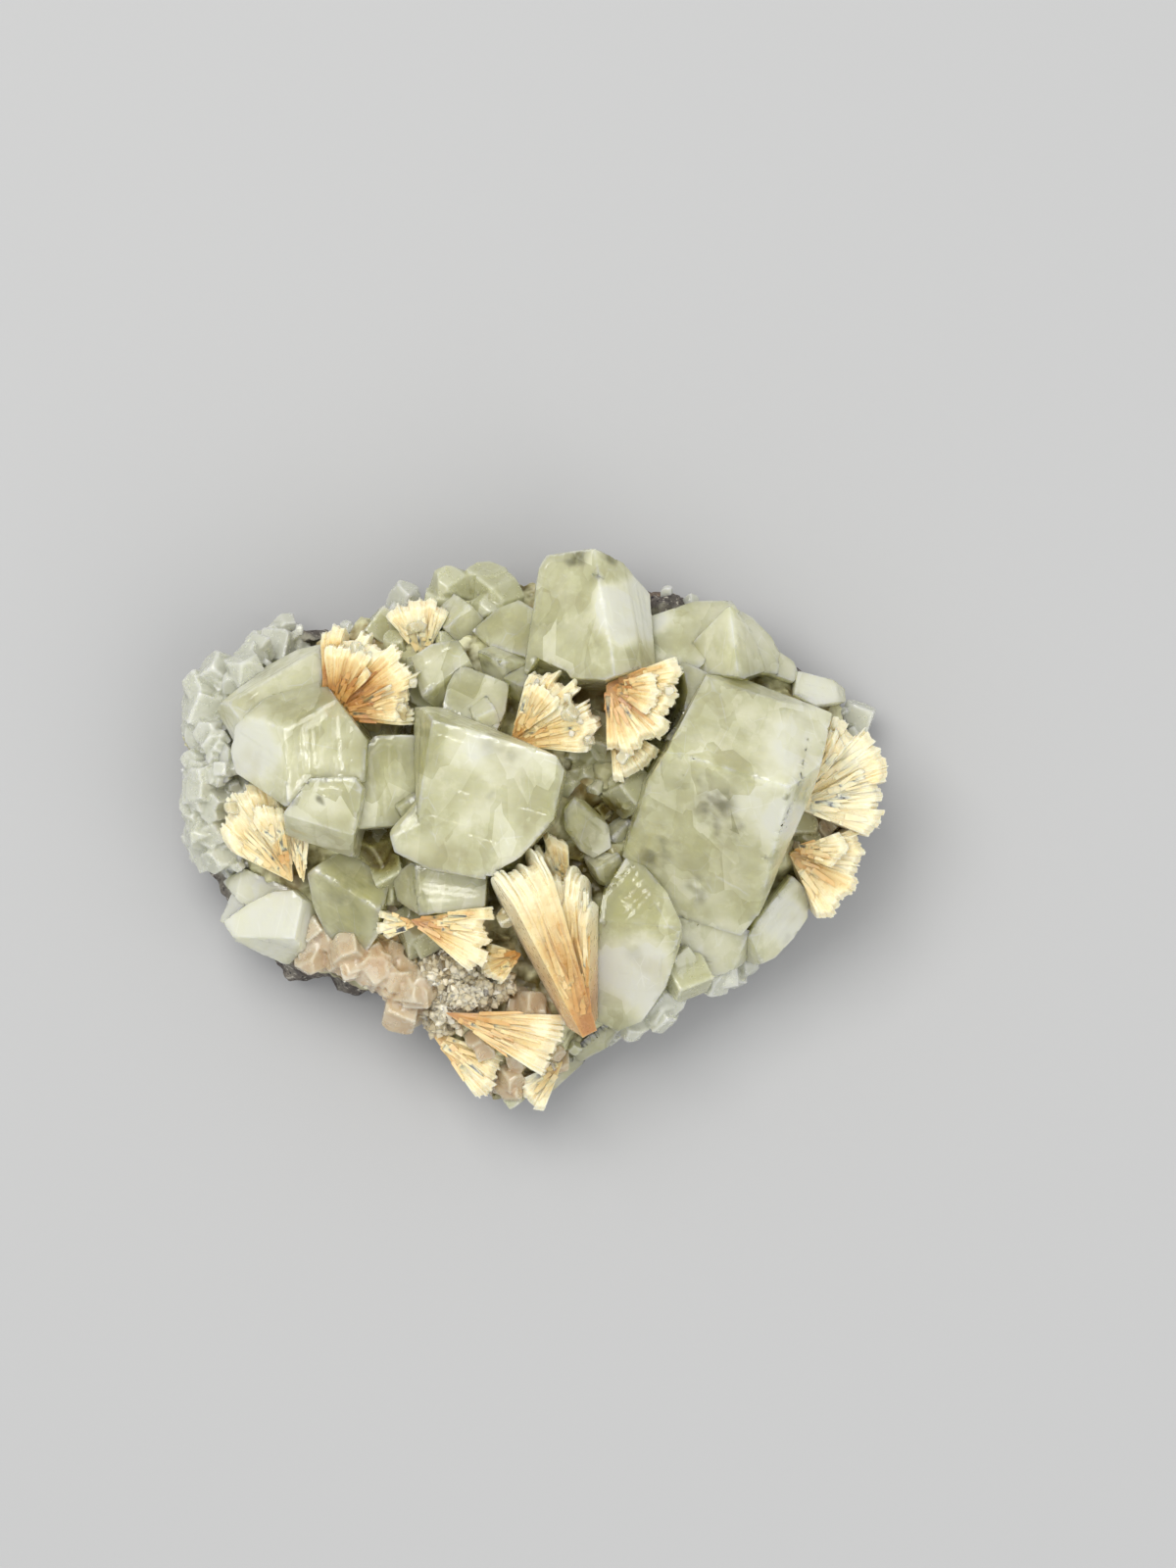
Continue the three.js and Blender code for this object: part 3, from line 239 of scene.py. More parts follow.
GROWTH = {
    "gap_crystals": dict(
        areas=[
            (0, 5, 56), (10, 0, 16), (-20, -4, 14), (20, -34, 14), (28, -20, 12), (-24, 18, 8),
            (-10, 30, 16),
        ],
        number=900, sizes=(1.8, 7.0), on=("pale_crust",), slot="apophyllite",
        stops=[(0.0, "6e5f2a"), (0.2, "a9a268"), (0.4, "cbcaa0"), (0.6, "dadab8"), (0.85, "e8e8d6")],
    ),
    "rim_crystals": dict(
        areas=[
            (-53, 10, 14), (-50, -6, 12), (-40, 28, 14), (-25, 36, 10), (-12, 38, 12), (20, 38, 9),
            (40, 28, 14), (50, 22, 9), (30, -26, 12), (20, -36, 12), (0, 0, 64),
        ],
        number=3400, sizes=(1.4, 6.0), on=("rim", "basalt"), slot="rim",
        stops=[(0.0, "aeae92"), (0.4, "dadbc8"), (0.6, "e5e6d8"), (0.85, "f2f2ea")],
    ),
    "veil_crystals": dict(
        areas=[
            (-20, 30, 4), (-18, 24, 4), (-28, 33, 4), (-21, 20, 4), (4, 24, 4), (8, 20, 4), (7, 15, 3),
            (-2, 27, 3), (20, 30, 3), (24, 25, 3.5), (22, 18, 3.5), (16, 14, 3), (-52, 4, 3),
            (-46, 8, 4), (-40, -3, 4), (-7, -15, 3.4), (-2, 0, 3), (-26, -14, 4), (4, -34, 4),
            (-18, 36, 4),
        ],
        number=60, sizes=(1.0, 3.0), slot="apophyllite",
        on=("stilbite_north", "stilbite_west", "stilbite_bow", "stilbite_center"),
        stops=[(0.15, "cbb884"), (0.4, "dccfa4"), (0.6, "e4dfc0"), (0.85, "f0eddc")],
    ),
    "blush_crystals": dict(
        areas=[
            (-26, -22, 10), (-20, -26, 9), (-12, -30, 8), (-32, -19, 6), (-4, -38, 9), (-16, -20, 7),
            (48, -3, 5),
        ],
        number=600, sizes=(1.4, 5.6), on=("pale_crust", "stilbite_pink_mass", "basalt"), slot="stilbite",
        stops=[(0.0, "b8906a"), (0.4, "d8bd98"), (0.6, "e0cfb0"), (0.85, "ece4d0")],
    ),
}

# Deep gaps between the crystals, darkened as painted shade: x, y and radius in mm.

SHADED_DEEP_GAPS = [
    (10, -6, 7), (12, 1, 5), (-21.5, 16.5, 4), (-25, -2.5, 6), (-7, -10.5, 4.5), (2, -20, 5),
    (36, 24, 4), (44, -10, 4),
]

# Where the stone shows, and no small crystal grows: x, y and radius in mm.

BARE = [
    (-54, -9, 2.2), (-51, -18, 2.6), (-46, -21.4, 2.6), (-40, -24, 2.6), (-34, -26.6, 2.6),
    (-28, -28.6, 2.6), (7.6, 46.6, 3.4), (20.5, 38, 1.6), (24, 36.6, 1.2), (-36.4, 33.4, 1.8),
    (-3, 40.4, 1),
]

CRYSTALS = [
    "apophyllite_east", "apophyllite_center", "apophyllite_north", "apophyllite_southeast",
    "apophyllite_south_rim", "apophyllite_west", "apophyllite_cube_pair", "apophyllite_bead",
    "apophyllite_north_shelf", "apophyllite_saddle", "apophyllite_peak", "apophyllite_east_rim",
    "apophyllite_east_shard", "apophyllite_south_block", "apophyllite_smoky", "apophyllite_white",
    "apophyllite_hollow",
]
RIMS = ["rim_west", "rim_northwest", "rim_southeast"]


class SpecimenSettings(bpy.types.PropertyGroup):
    """The sizes and colours that a user would change"""

    grain: FloatProperty(
        name="Crystal mesh", description="Edge length of the crystals' mesh", default=0.34 * MM, unit="LENGTH"
    )
    step: FloatProperty(
        name="Growth step", description="Height of a growth step on a crystal face",
        default=0.07 * MM, unit="LENGTH",
    )
    chip: FloatProperty(
        name="Chip", description="Depth of the chips along a crystal's edges",
        default=0.45 * MM, unit="LENGTH",
    )
    intergrowth: FloatProperty(
        name="Intergrowth", description="How far crystals grow into each other",
        default=0.42 * MM, unit="LENGTH",
    )
    swell: FloatProperty(
        name="Swell", description="How far the crust swells up between the crystals",
        default=4 * MM, unit="LENGTH",
    )
    fibres: IntProperty(
        name="Fibres", description="Columns of the mesh across one sheaf", default=180, min=40
    )
    growth: FloatProperty(
        name="Growth", description="How many of the small crystals there are", default=1, subtype="FACTOR"
    )
    quartz_points: IntProperty(
        name="Quartz points", description="Points in the quartz bed", default=700
    )
    green: FloatVectorProperty(
        name="Green", description="Colour of clear apophyllite", subtype="COLOR", default=(0.8, 0.785, 0.42)
    )
    milk: FloatVectorProperty(
        name="Milk", description="Colour of milky apophyllite", subtype="COLOR", default=(0.8, 0.79, 0.57)
    )
    floor: FloatVectorProperty(
        name="Floor", description="Colour of the floor", subtype="COLOR", default=(0.44, 0.44, 0.44)
    )


def settings():
    """The user's choices in this scene."""
    return bpy.context.scene.specimen


# Repeatable patterns on arrays of points. The large numbers only scramble a cell's place.

SCRAMBLE = np.array([374761393, 668265263, 1440662683])
SEED_SCRAMBLE = 1274126177


def hashed(cells, seed):
    """A number from 0 to 1 for each whole-number cell."""
    mixed = cells.astype(np.int64) @ SCRAMBLE + seed * SEED_SCRAMBLE
    mixed = (mixed ^ (mixed >> 13)) & 0xFFFFFFFF
    mixed = (mixed * 1103515245 + 12345) & 0xFFFFFFFF
    mixed = (mixed ^ (mixed >> 16)) * 69069 & 0xFFFFFFFF
    return ((mixed >> 8) & 0xFFFF) / 65535.0


def cloud(points, size, seed=0):
    """Smooth noise from 0 to 1, with lumps of the given size, at each point."""
    place = np.atleast_2d(points) / size + 31.7 * seed
    cell = np.floor(place)
    part = place - cell
    part = part * part * (3 - 2 * part)
    total = np.zeros(len(place))
    for corner in np.ndindex(2, 2, 2):
        weight = np.prod(np.where(corner, part, 1 - part), axis=1)
        total += weight * hashed(cell + np.array(corner), seed)
    return total


def billow(points, size, seed=0, octaves=3):
    """Several sizes of smooth noise together."""
    shares = [0.5**i for i in range(octaves)]
    total = sum(share * cloud(points, size * share, seed + 7 * i) for i, share in enumerate(shares))
    return total / sum(shares)


def blocky(points, size, seed=0):
    """Relief of packed blocks that lean every way: from about -0.6 in the joints to 0.4 on top."""
    place = points / size + 17.3 * seed
    base = np.floor(place - 0.5)
    best = np.full(len(place), -9.0)
    for corner in np.ndindex(2, 2, 2):
        cell = base + np.array(corner)
        noise = np.stack([hashed(cell, seed + k) for k in range(7)], 1)
        away = place - cell - 0.5 - 0.6 * (noise[:, :3] - 0.5)
        first = noise[:, 3:6] - 0.5
        first /= np.linalg.norm(first, axis=1, keepdims=True) + 1e-9
        second = np.cross(first, [0.36, 0.48, 0.8])
        second /= np.linalg.norm(second, axis=1, keepdims=True) + 1e-9
        third = np.cross(first, second)
        far = [np.abs(np.einsum("ij,ij->i", away, axis)) for axis in (first, second, third)]
        best = np.maximum(best, 0.25 + 0.45 * noise[:, 6] - np.max(far, axis=0) * 1.3)
    return best


def ramp(value, low, high):
    """Goes smoothly from 0 at low to 1 at high, whichever of the two is larger."""
    part = np.clip((value - low) / (high - low), 0, 1)
    return part * part * (3 - 2 * part)


# Meshes


def copy_of(node):
    """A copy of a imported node, its doubles merged."""
    bm = bmesh.new()
    bm.from_mesh(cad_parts[node].data)
    bmesh.ops.remove_doubles(bm, verts=bm.verts, dist=0.002 * MM)
    return bm


def object_of(bm, name):
    """An object in the scene from a bmesh, which is freed."""
    mesh = bpy.data.meshes.new(name)
    bm.to_mesh(mesh)
    bm.free()
    return linked(mesh)


def linked(mesh):
    """An object in the scene for a mesh."""
    obj = bpy.data.objects.new(mesh.name, mesh)
    bpy.context.scene.collection.objects.link(obj)
    return obj


def remeshed(obj, grain, crisp=False):
    """The object with an even mesh of the given edge length, its edges fused or kept crisp."""
    modifier = obj.modifiers.new("Even mesh", "REMESH")
    if crisp:
        modifier.mode = "SHARP"
        modifier.scale = 0.9  # the share of the grid that the object fills
        modifier.octree_depth = round(math.log2(max(obj.dimensions) / modifier.scale / grain))
        modifier.use_remove_disconnected = False
    else:
        modifier.mode = "VOXEL"
        modifier.voxel_size = grain
    evaluated = obj.evaluated_get(bpy.context.evaluated_depsgraph_get())
    mesh = bpy.data.meshes.new_from_object(evaluated)
    obj.modifiers.clear()
    old, obj.data = obj.data, mesh
    bpy.data.meshes.remove(old)
    mesh.name = obj.name
    return obj


def points_of(mesh):
    """Where the vertices are, a row for each."""
    points = np.zeros(len(mesh.vertices) * 3)
    mesh.vertices.foreach_get("co", points)
    return points.reshape(-1, 3)


def normals_of(mesh):
    """Which way the surface faces at each vertex."""
    normals = np.zeros(len(mesh.vertices) * 3)
    mesh.vertex_normals.foreach_get("vector", normals)
    return normals.reshape(-1, 3)


def move_points(mesh, points):
    """Puts the vertices at these points, kept inside the part's box."""
    low, high = (np.array(corner) for corner in CAD_BOX)
    mesh.vertices.foreach_set("co", np.clip(points, low, high).ravel())
    mesh.update()


def ends_of(mesh):
    """The numbers of the vertices at both ends of every edge."""
    edges = np.zeros(len(mesh.edges) * 2, int)
    mesh.edges.foreach_get("vertices", edges)
    return edges.reshape(-1, 2).T


def blurred(mesh, values, rounds):
    """The values, each evened out with its neighbours' a few times."""
    a, b = ends_of(mesh)
    count = np.bincount(a, minlength=len(values)) + np.bincount(b, minlength=len(values))
    for _ in range(rounds):
        columns = [
            np.bincount(a, values[b, k], len(values)) + np.bincount(b, values[a, k], len(values))
            for k in range(values.shape[1])
        ]
        values = np.stack(columns, 1) / count[:, None]
    return values


def ridges_of(mesh, rounds):
    """How much each vertex stands out: above 0 on a ridge, below 0 in a groove."""
    points = points_of(mesh)
    return np.einsum("ij,ij->i", points - blurred(mesh, points, rounds), normals_of(mesh))


def paint(mesh, name, values):
    """Keeps a number for each vertex, for a material to read."""
    attribute = mesh.attributes.get(name) or mesh.attributes.new(name, "FLOAT", "POINT")
    attribute.data.foreach_set("value", np.clip(values, 0, 1).astype(np.float32))


def shade_crisp(mesh, angle=30):
    """Smooth shading that stays sharp across edges steeper than the angle."""
    mesh.polygons.foreach_set("use_smooth", np.ones(len(mesh.polygons), bool))
    mesh.set_sharp_from_angle(angle=math.radians(angle))
    mesh.update()


def settle(obj, nodes, material):
    """Gives a finished piece its material, and puts it in its nodes' place."""
    obj.data.materials.clear()
    obj.data.materials.append(material)
    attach(obj, WHOLE)
    if nodes:
        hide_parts(*nodes)
    return obj


def gathered(name, shapes, places):
    """One object of many small shapes. Each place is a matrix, a tone and the shape's number."""
    bm = bmesh.new()
    for matrix, tone, kind in places:
        shape = shapes[kind % len(shapes)]
        paint(shape, "tone", np.full(len(shape.vertices), tone))
        shape.transform(matrix)
        bm.from_mesh(shape)
        shape.transform(matrix.inverted())
    return object_of(bm, name)


def placed(at, turn, size):
    """The matrix that sizes a shape, turns it and puts it at a point."""
    return Matrix.LocRotScale(Vector(at), turn, Vector(size))


def spots_on(mesh, number, rng, steepest):
    """Random points on a mesh where it faces up enough, with their normals."""
    mesh.calc_loop_triangles()
    corners = np.zeros(len(mesh.loop_triangles) * 3, int)
    mesh.loop_triangles.foreach_get("vertices", corners)
    a, b, c = points_of(mesh)[corners.reshape(-1, 3)].transpose(1, 0, 2)
    cross = np.cross(b - a, c - a)
    size = np.linalg.norm(cross, axis=1)
    normal = cross / np.maximum(size, 1e-12)[:, None]
    size = np.where(normal[:, 2] > steepest, size, 0)
    picked = rng.choice(len(size), number, p=size / size.sum())
    u, v = rng.random((2, number))
    flip = u + v > 1
    u, v = np.where(flip, 1 - u, u), np.where(flip, 1 - v, v)
    points = a[picked] + u[:, None] * (b - a)[picked] + v[:, None] * (c - a)[picked]
    return points, normal[picked]


def within(points, areas):
    """How far each point is inside any of the round areas, from 0 to 1."""
    inside = []
    for x, y, radius in areas:
        far = np.hypot(points[:, 0] - x * MM, points[:, 1] - y * MM) / (radius * MM)
        inside.append(1 - ramp(far, 0.5, 1.1))
    return np.max(inside, 0)


def turn_to(direction, rng, wobble):
    """A turn that takes +Z near to the direction, with a random spin."""
    lean = Vector(direction) + Vector(rng.normal(0, wobble, 3))
    spin = Matrix.Rotation(rng.random() * math.tau, 3, "Z").to_quaternion()
    return lean.to_track_quat("Z", "Y") @ spin


# Materials


class Nodes:
    """A material's node tree, with a short way to add nodes to it."""

    def __init__(self, name):
        self.material = bpy.data.materials.new(name)
        self.material.use_nodes = True
        self.tree = self.material.node_tree
        self.shader = self.tree.nodes["Principled BSDF"]
        self.output = self.tree.nodes["Material Output"]
        place = self.add("ShaderNodeTexCoord")
        self.place = self.add("ShaderNodeMapping")
        self.place.inputs["Scale"].default_value = (1 / MM,) * 3
        self.link(place.outputs["Object"], self.place.inputs["Vector"])

    def add(self, kind, **values):
        """A new node of this kind, with these settings."""
        node = self.tree.nodes.new(kind)
        for key, value in values.items():
            setattr(node, key, value)
        return node

    def link(self, source, target):
        self.tree.links.new(source, target)

    def noise(self, size, detail=3, roughness=0.55):
        """Noise with lumps of the given size in mm."""
        node = self.add("ShaderNodeTexNoise")
        for key, value in (("Scale", 1 / size), ("Detail", detail), ("Roughness", roughness)):
            node.inputs[key].default_value = value
        self.link(self.place.outputs["Vector"], node.inputs["Vector"])
        return node.outputs["Fac"]

    def planes(self, size, turn):
        """A tone for each block of a clear body's inner planes, the blocks' width in mm."""
        node = self.add("ShaderNodeTexVoronoi", distance="CHEBYCHEV")
        node.inputs["Scale"].default_value = 1 / size
        self.link(self.turned(turn), node.inputs["Vector"])
        return node.outputs["Color"]

    def cracks(self, size):
        """Hairline cracks in a few places."""
        node = self.add("ShaderNodeTexVoronoi", feature="DISTANCE_TO_EDGE")
        node.inputs["Scale"].default_value = 1 / size
        self.link(self.turned(0.9), node.inputs["Vector"])
        line = self.spread(node.outputs["Distance"], 0.0, 0.02, 0.5, 0.0)
        return self.math("MULTIPLY", line, self.spread(self.noise(6, detail=2), 0.5, 0.6))

    def turned(self, turn):
        """The place in a turned and stretched frame."""
        node = self.add("ShaderNodeMapping")
        node.inputs["Rotation"].default_value = (0.4 + turn, 0.3 * turn, 1.1 * turn)
        node.inputs["Scale"].default_value = (1, 0.55, 0.8)
        self.link(self.place.outputs["Vector"], node.inputs["Vector"])
        return node.outputs["Vector"]

    def painted(self, name):
        """The number that is painted on the vertices under this name."""
        return self.add("ShaderNodeAttribute", attribute_name=name).outputs["Fac"]

    def math(self, operation, a, b=0.0, clamp=False):
        """One operation on a and b, kept between 0 and 1 if clamped."""
        node = self.add("ShaderNodeMath", operation=operation, use_clamp=clamp)
        for socket, value in zip(node.inputs, (a, b)):
            self.feed(socket, value)
        return node.outputs[0]

    def feed(self, socket, value):
        """Links a socket, or sets it to a number or colour."""
        if isinstance(value, bpy.types.NodeSocket):
            self.link(value, socket)
        elif isinstance(value, tuple) and len(value) == 3 and socket.type == "RGBA":
            socket.default_value = (*value, 1)
        else:
            socket.default_value = value

    def spread(self, source, low, high, start=0.0, end=1.0):
        """The source from low to high, stretched to go from start to end."""
        node = self.add("ShaderNodeMapRange", interpolation_type="SMOOTHSTEP")
        for key, value in zip(("From Min", "From Max", "To Min", "To Max"), (low, high, start, end)):
            node.inputs[key].default_value = value
        self.link(source, node.inputs["Value"])
        return node.outputs["Result"]

    def colors(self, source, stops):
        """Colours along the source, each stop a place and a colour."""
        node = self.add("ShaderNodeValToRGB")
        while len(node.color_ramp.elements) < len(stops):
            node.color_ramp.elements.new(0.5)
        for element, (place, color) in zip(node.color_ramp.elements, stops):
            element.position = place
            element.color = (*color, 1)
        self.link(source, node.inputs["Fac"])
        return node.outputs["Color"]

    def mix(self, factor, a, b):
        """A colour on the way from a to b."""
        node = self.add("ShaderNodeMix", data_type="RGBA")
        for socket, value in zip((node.inputs[0], node.inputs[6], node.inputs[7]), (factor, a, b)):
            self.feed(socket, value)
        return node.outputs[2]

    def bump(self, height, distance, strength=1.0):
        """Fine relief, its depth in mm."""
        node = self.add("ShaderNodeBump")
        node.inputs["Distance"].default_value = distance * MM
        node.inputs["Strength"].default_value = strength
        self.link(height, node.inputs["Height"])
        self.link(node.outputs["Normal"], self.shader.inputs["Normal"])

    def set(self, **values):
        """Sets or links the shader's inputs, an underscore standing for a space in their names."""
        for key, value in values.items():
            self.feed(self.shader.inputs[key.replace("_", " ")], value)

    def cloudy_inside(self, weight, radius, scale):
        """Light spreads under the surface, its reach in mm."""
        self.set(Subsurface_Weight=weight, Subsurface_Scale=scale * MM)
        self.shader.inputs["Subsurface Radius"].default_value = radius


def shade(hexadecimal):
    """A linear colour from its usual six digits."""
    parts = [int(hexadecimal[i : i + 2], 16) / 255 for i in (0, 2, 4)]
    return tuple(p / 12.92 if p <= 0.04045 else ((p + 0.055) / 1.055) ** 2.4 for p in parts)


def stops_of(places):
    """Stops of linear colours from stops of six digits."""
    return [(place, shade(color)) for place, color in places]


def crystal_material(name, green, milk, clear):
    """Apophyllite, see-through by the share clear, and cloudier and paler where it is milky."""
    n = Nodes(name)
    veil = n.noise(9, detail=4, roughness=0.5)
    wisp = n.noise(2.6, detail=4, roughness=0.6)
    cloudy = n.math("ADD", n.spread(veil, 0.3, 0.7, -0.14, 0.14), n.painted("milk"))
    cloudy = n.math("ADD", cloudy, n.spread(n.planes(7, 0.5), 0.0, 1.0, -0.16, 0.16))
    cloudy = n.math("ADD", cloudy, n.spread(n.planes(3.2, 1.7), 0.0, 1.0, -0.07, 0.07))
    cloudy = n.math("ADD", cloudy, n.spread(wisp, 0.5, 0.72, 0, 0.1), clamp=True)
    body = n.colors(cloudy, [(0.0, green), (0.6, milk), (1.0, shade("e6e6d8"))])
    # Painted glow: a more saturated yellow-green on the broad ridges, standing in for light that passes
    # through the thin edges.
    body = n.mix(n.math("MULTIPLY", n.painted("glow"), 0.35), body, shade("ced28a"))
    body = n.mix(n.spread(n.noise(13, detail=3), 0.57, 0.72, 0, 0.25), body, shade("b8ae7c"))
    body = n.mix(n.cracks(5), body, shade("f4f4ea"))
    body = n.mix(n.painted("smudge"), body, shade("6d6a48"))
    # Painted highlight: a pale line along the sharp edges, with the white of broken chips on the ridges.
    body = n.mix(n.math("MULTIPLY", n.painted("edge"), 0.7), body, shade("f6f6ea"))
    n.set(
        Base_Color=body,
        Roughness=n.spread(wisp, 0.3, 0.7, 0.03, 0.15),
        IOR=1.535,
        Transmission_Weight=n.spread(cloudy, 0.1, 0.9, clear, 0.25),
    )
    n.cloudy_inside(1.0, (1.0, 1.0, 0.75), 3.2)
    n.bump(n.mix(0.3, n.noise(1.8, detail=4), n.noise(0.5, detail=2)), 0.1, 0.4)
    absorption = n.add("ShaderNodeVolumeAbsorption")
    absorption.inputs["Color"].default_value = (0.88, 0.93, 0.6, 1)
    absorption.inputs["Density"].default_value = 12
    n.link(absorption.outputs["Volume"], n.output.inputs["Volume"])
    return n.material


def stilbite_material(name, reach):
    """Stilbite, brown-orange at a sheaf's root and cream at its tips. Light's reach in it is in mm."""
    n = Nodes(name)
    streak = n.noise(1.2, detail=3)
    patch = n.noise(5, detail=3)
    tone = n.math("ADD", n.painted("tone"), n.spread(streak, 0.3, 0.7, -0.04, 0.04))
    tone = n.math("ADD", tone, n.spread(patch, 0.35, 0.65, -0.09, 0.09), clamp=True)
    stops = [(0.0, "b07c40"), (0.2, "c99a58"), (0.42, "dcbb7e"), (0.65, "e7d29c"), (1.0, "f4ebca")]
    n.set(
        Base_Color=n.colors(tone, stops_of(stops)),
        Roughness=n.spread(streak, 0.3, 0.7, 0.24, 0.42),
        IOR=1.5,
        Transmission_Weight=0.06,
        Sheen_Weight=0.1,
        Sheen_Roughness=0.4,
    )
    n.cloudy_inside(1.0, (1.0, 0.9, 0.75), reach)
    n.bump(n.noise(0.8, detail=2), 0.04, 0.2)
    return n.material


def small_crystal_material(name, stops, clear, reach):
    """Little crystals, each with its tone, see-through by the share clear. Light's reach is in mm."""
    n = Nodes(name)
    body = n.colors(n.painted("tone"), stops_of(stops))
    body = n.mix(n.spread(n.planes(2.6, 0.8), 0.5, 1.0, 0, 0.4), body, shade("f0f0e4"))
    body = n.mix(n.cracks(2.2), body, shade("f4f4ea"))
    n.set(
        Base_Color=body,
        Roughness=n.spread(n.noise(1.5), 0.35, 0.65, 0.06, 0.3),
        IOR=1.54,
        Transmission_Weight=clear,
    )
    n.cloudy_inside(1.0, (1.0, 1.0, 0.9), reach)
    n.bump(n.noise(0.6, detail=3), 0.05, 0.4)
    return n.material


def bed_material(name, low, high, stain):
    """A bed of crystals too small to tell apart: darker in its joints, with stained patches."""
    n = Nodes(name)
    tone = n.math("ADD", n.painted("tone"), n.spread(n.noise(2.5, detail=4), 0.3, 0.7, -0.2, 0.2), clamp=True)
    body = n.colors(tone, stops_of([(0.1, low), (0.8, high)]))
    body = n.mix(n.spread(n.noise(9, detail=4), 0.5, 0.66, 0, 0.75), body, shade(stain))
    n.set(Base_Color=body, Roughness=0.35)
    n.cloudy_inside(0.8, (1.0, 1.0, 0.85), 0.6)
    n.bump(n.noise(0.7, detail=4), 0.15, 0.6)
    return n.material


def basalt_material():
    """Basalt: matt grey-brown, with pale grains, rusty stains and pale dust on top."""
    n = Nodes("basalt")
    patch = n.noise(5, detail=5, roughness=0.65)
    stops = [(0.3, "3c3734"), (0.5, "5d554f"), (0.64, "7d756b"), (0.76, "a39b8c")]
    body = n.colors(patch, stops_of(stops))
    grain = n.noise(0.7, detail=2)
    body = n.mix(n.spread(grain, 0.6, 0.68), body, shade("bdb6a8"))
    body = n.mix(n.spread(grain, 0.4, 0.34), body, shade("26222a"))
    body = n.mix(n.spread(n.noise(8, detail=4), 0.56, 0.7, 0, 0.6), body, shade("8a6b4a"))
    dust = n.math("MULTIPLY", n.painted("dust"), n.spread(n.noise(3, detail=4), 0.4, 0.6, 0.2, 0.85))
    body = n.mix(dust, body, shade("a9a695"))
    n.set(Base_Color=body, Roughness=n.spread(grain, 0.3, 0.7, 0.95, 0.65))
    n.bump(n.noise(0.6, detail=5, roughness=0.7), 0.3, 1.0)
    return n.material


# The crystals


def facets_of(mesh, smallest):
    """A flat-faced mesh's larger faces: middle, normal, way of the longest edge, and area."""
    facets = []
    for face in mesh.polygons:
        if face.area < smallest:
            continue
        corners = [mesh.vertices[i].co for i in face.vertices]
        sides = [b - a for a, b in zip(corners, corners[1:] + corners[:1])]
        along = max(sides, key=lambda side: side.length).normalized()
        facets.append([np.array(v) for v in (face.center, face.normal, along)] + [face.area])
    return facets


def level_terraces(mesh, facets):
    """Brings the ground around a thin terrace up to it, so that the face is whole."""
    points = points_of(mesh)
    for top, normal, _, area in facets:
        for base, other, _, _ in facets:
            drop = (top - base) @ normal
            if normal @ other < 0.9995 or not 0.05 * MM < drop < 0.9 * MM:
                continue
            away = points - top
            height = away @ normal
            near = np.linalg.norm(away, axis=1) < 1.3 * math.sqrt(area) + 3 * MM
            raised = near & (height > -drop - 0.02 * MM) & (height < 0)
            points[raised] -= height[raised, None] * normal
    move_points(mesh, points)


def growth_relief(mesh, facets, rng):
    """Square-edged growth steps and fine lines, along each facet's longest edge."""
    points, normals = points_of(mesh), normals_of(mesh)
    rise, tint, owner = np.zeros(len(points)), np.zeros(len(points)), np.zeros(len(points))
    for number, (middle, normal, along, area) in enumerate(facets):
        away = points - middle
        here = (normals @ normal > 0.95) & (np.abs(away @ normal) < 0.5 * MM)
        u, v = away[here] @ along, away[here] @ np.cross(normal, along)
        if len(u) == 0:
            continue
        tint[here], owner[here] = rng.uniform(-1, 1), number + 1
        step = np.zeros(len(u))
        for _ in range(int(3 + area / MM**2 / 16)):
            at_u, at_v = rng.choice(u), rng.choice(v)
            half_u, half_v = rng.uniform(0.8, 9) * MM, rng.uniform(0.3, 3.4) * MM
            worn = 0.35 * MM * (rng.random() - 0.5)
            inside = (np.abs(u - at_u) < half_u + worn) & (np.abs(v - at_v) < half_v)
            step[inside] += rng.choice([-1, -0.6, 0.6, 1])
        lines = hashed(np.stack([np.floor(v / (0.45 * MM)), np.floor(u / (7 * MM)), 0 * v], 1), 5) - 0.5
        rise[here] = np.clip(step, -2, 2) + 0.5 * lines
    a, b = ends_of(mesh)
    border = np.zeros(len(points))
    border[a[owner[a] != owner[b]]] = 1
    border = blurred(mesh, border[:, None], 8)[:, 0]
    return rise * (1 - ramp(border, 0.01, 0.12)), tint


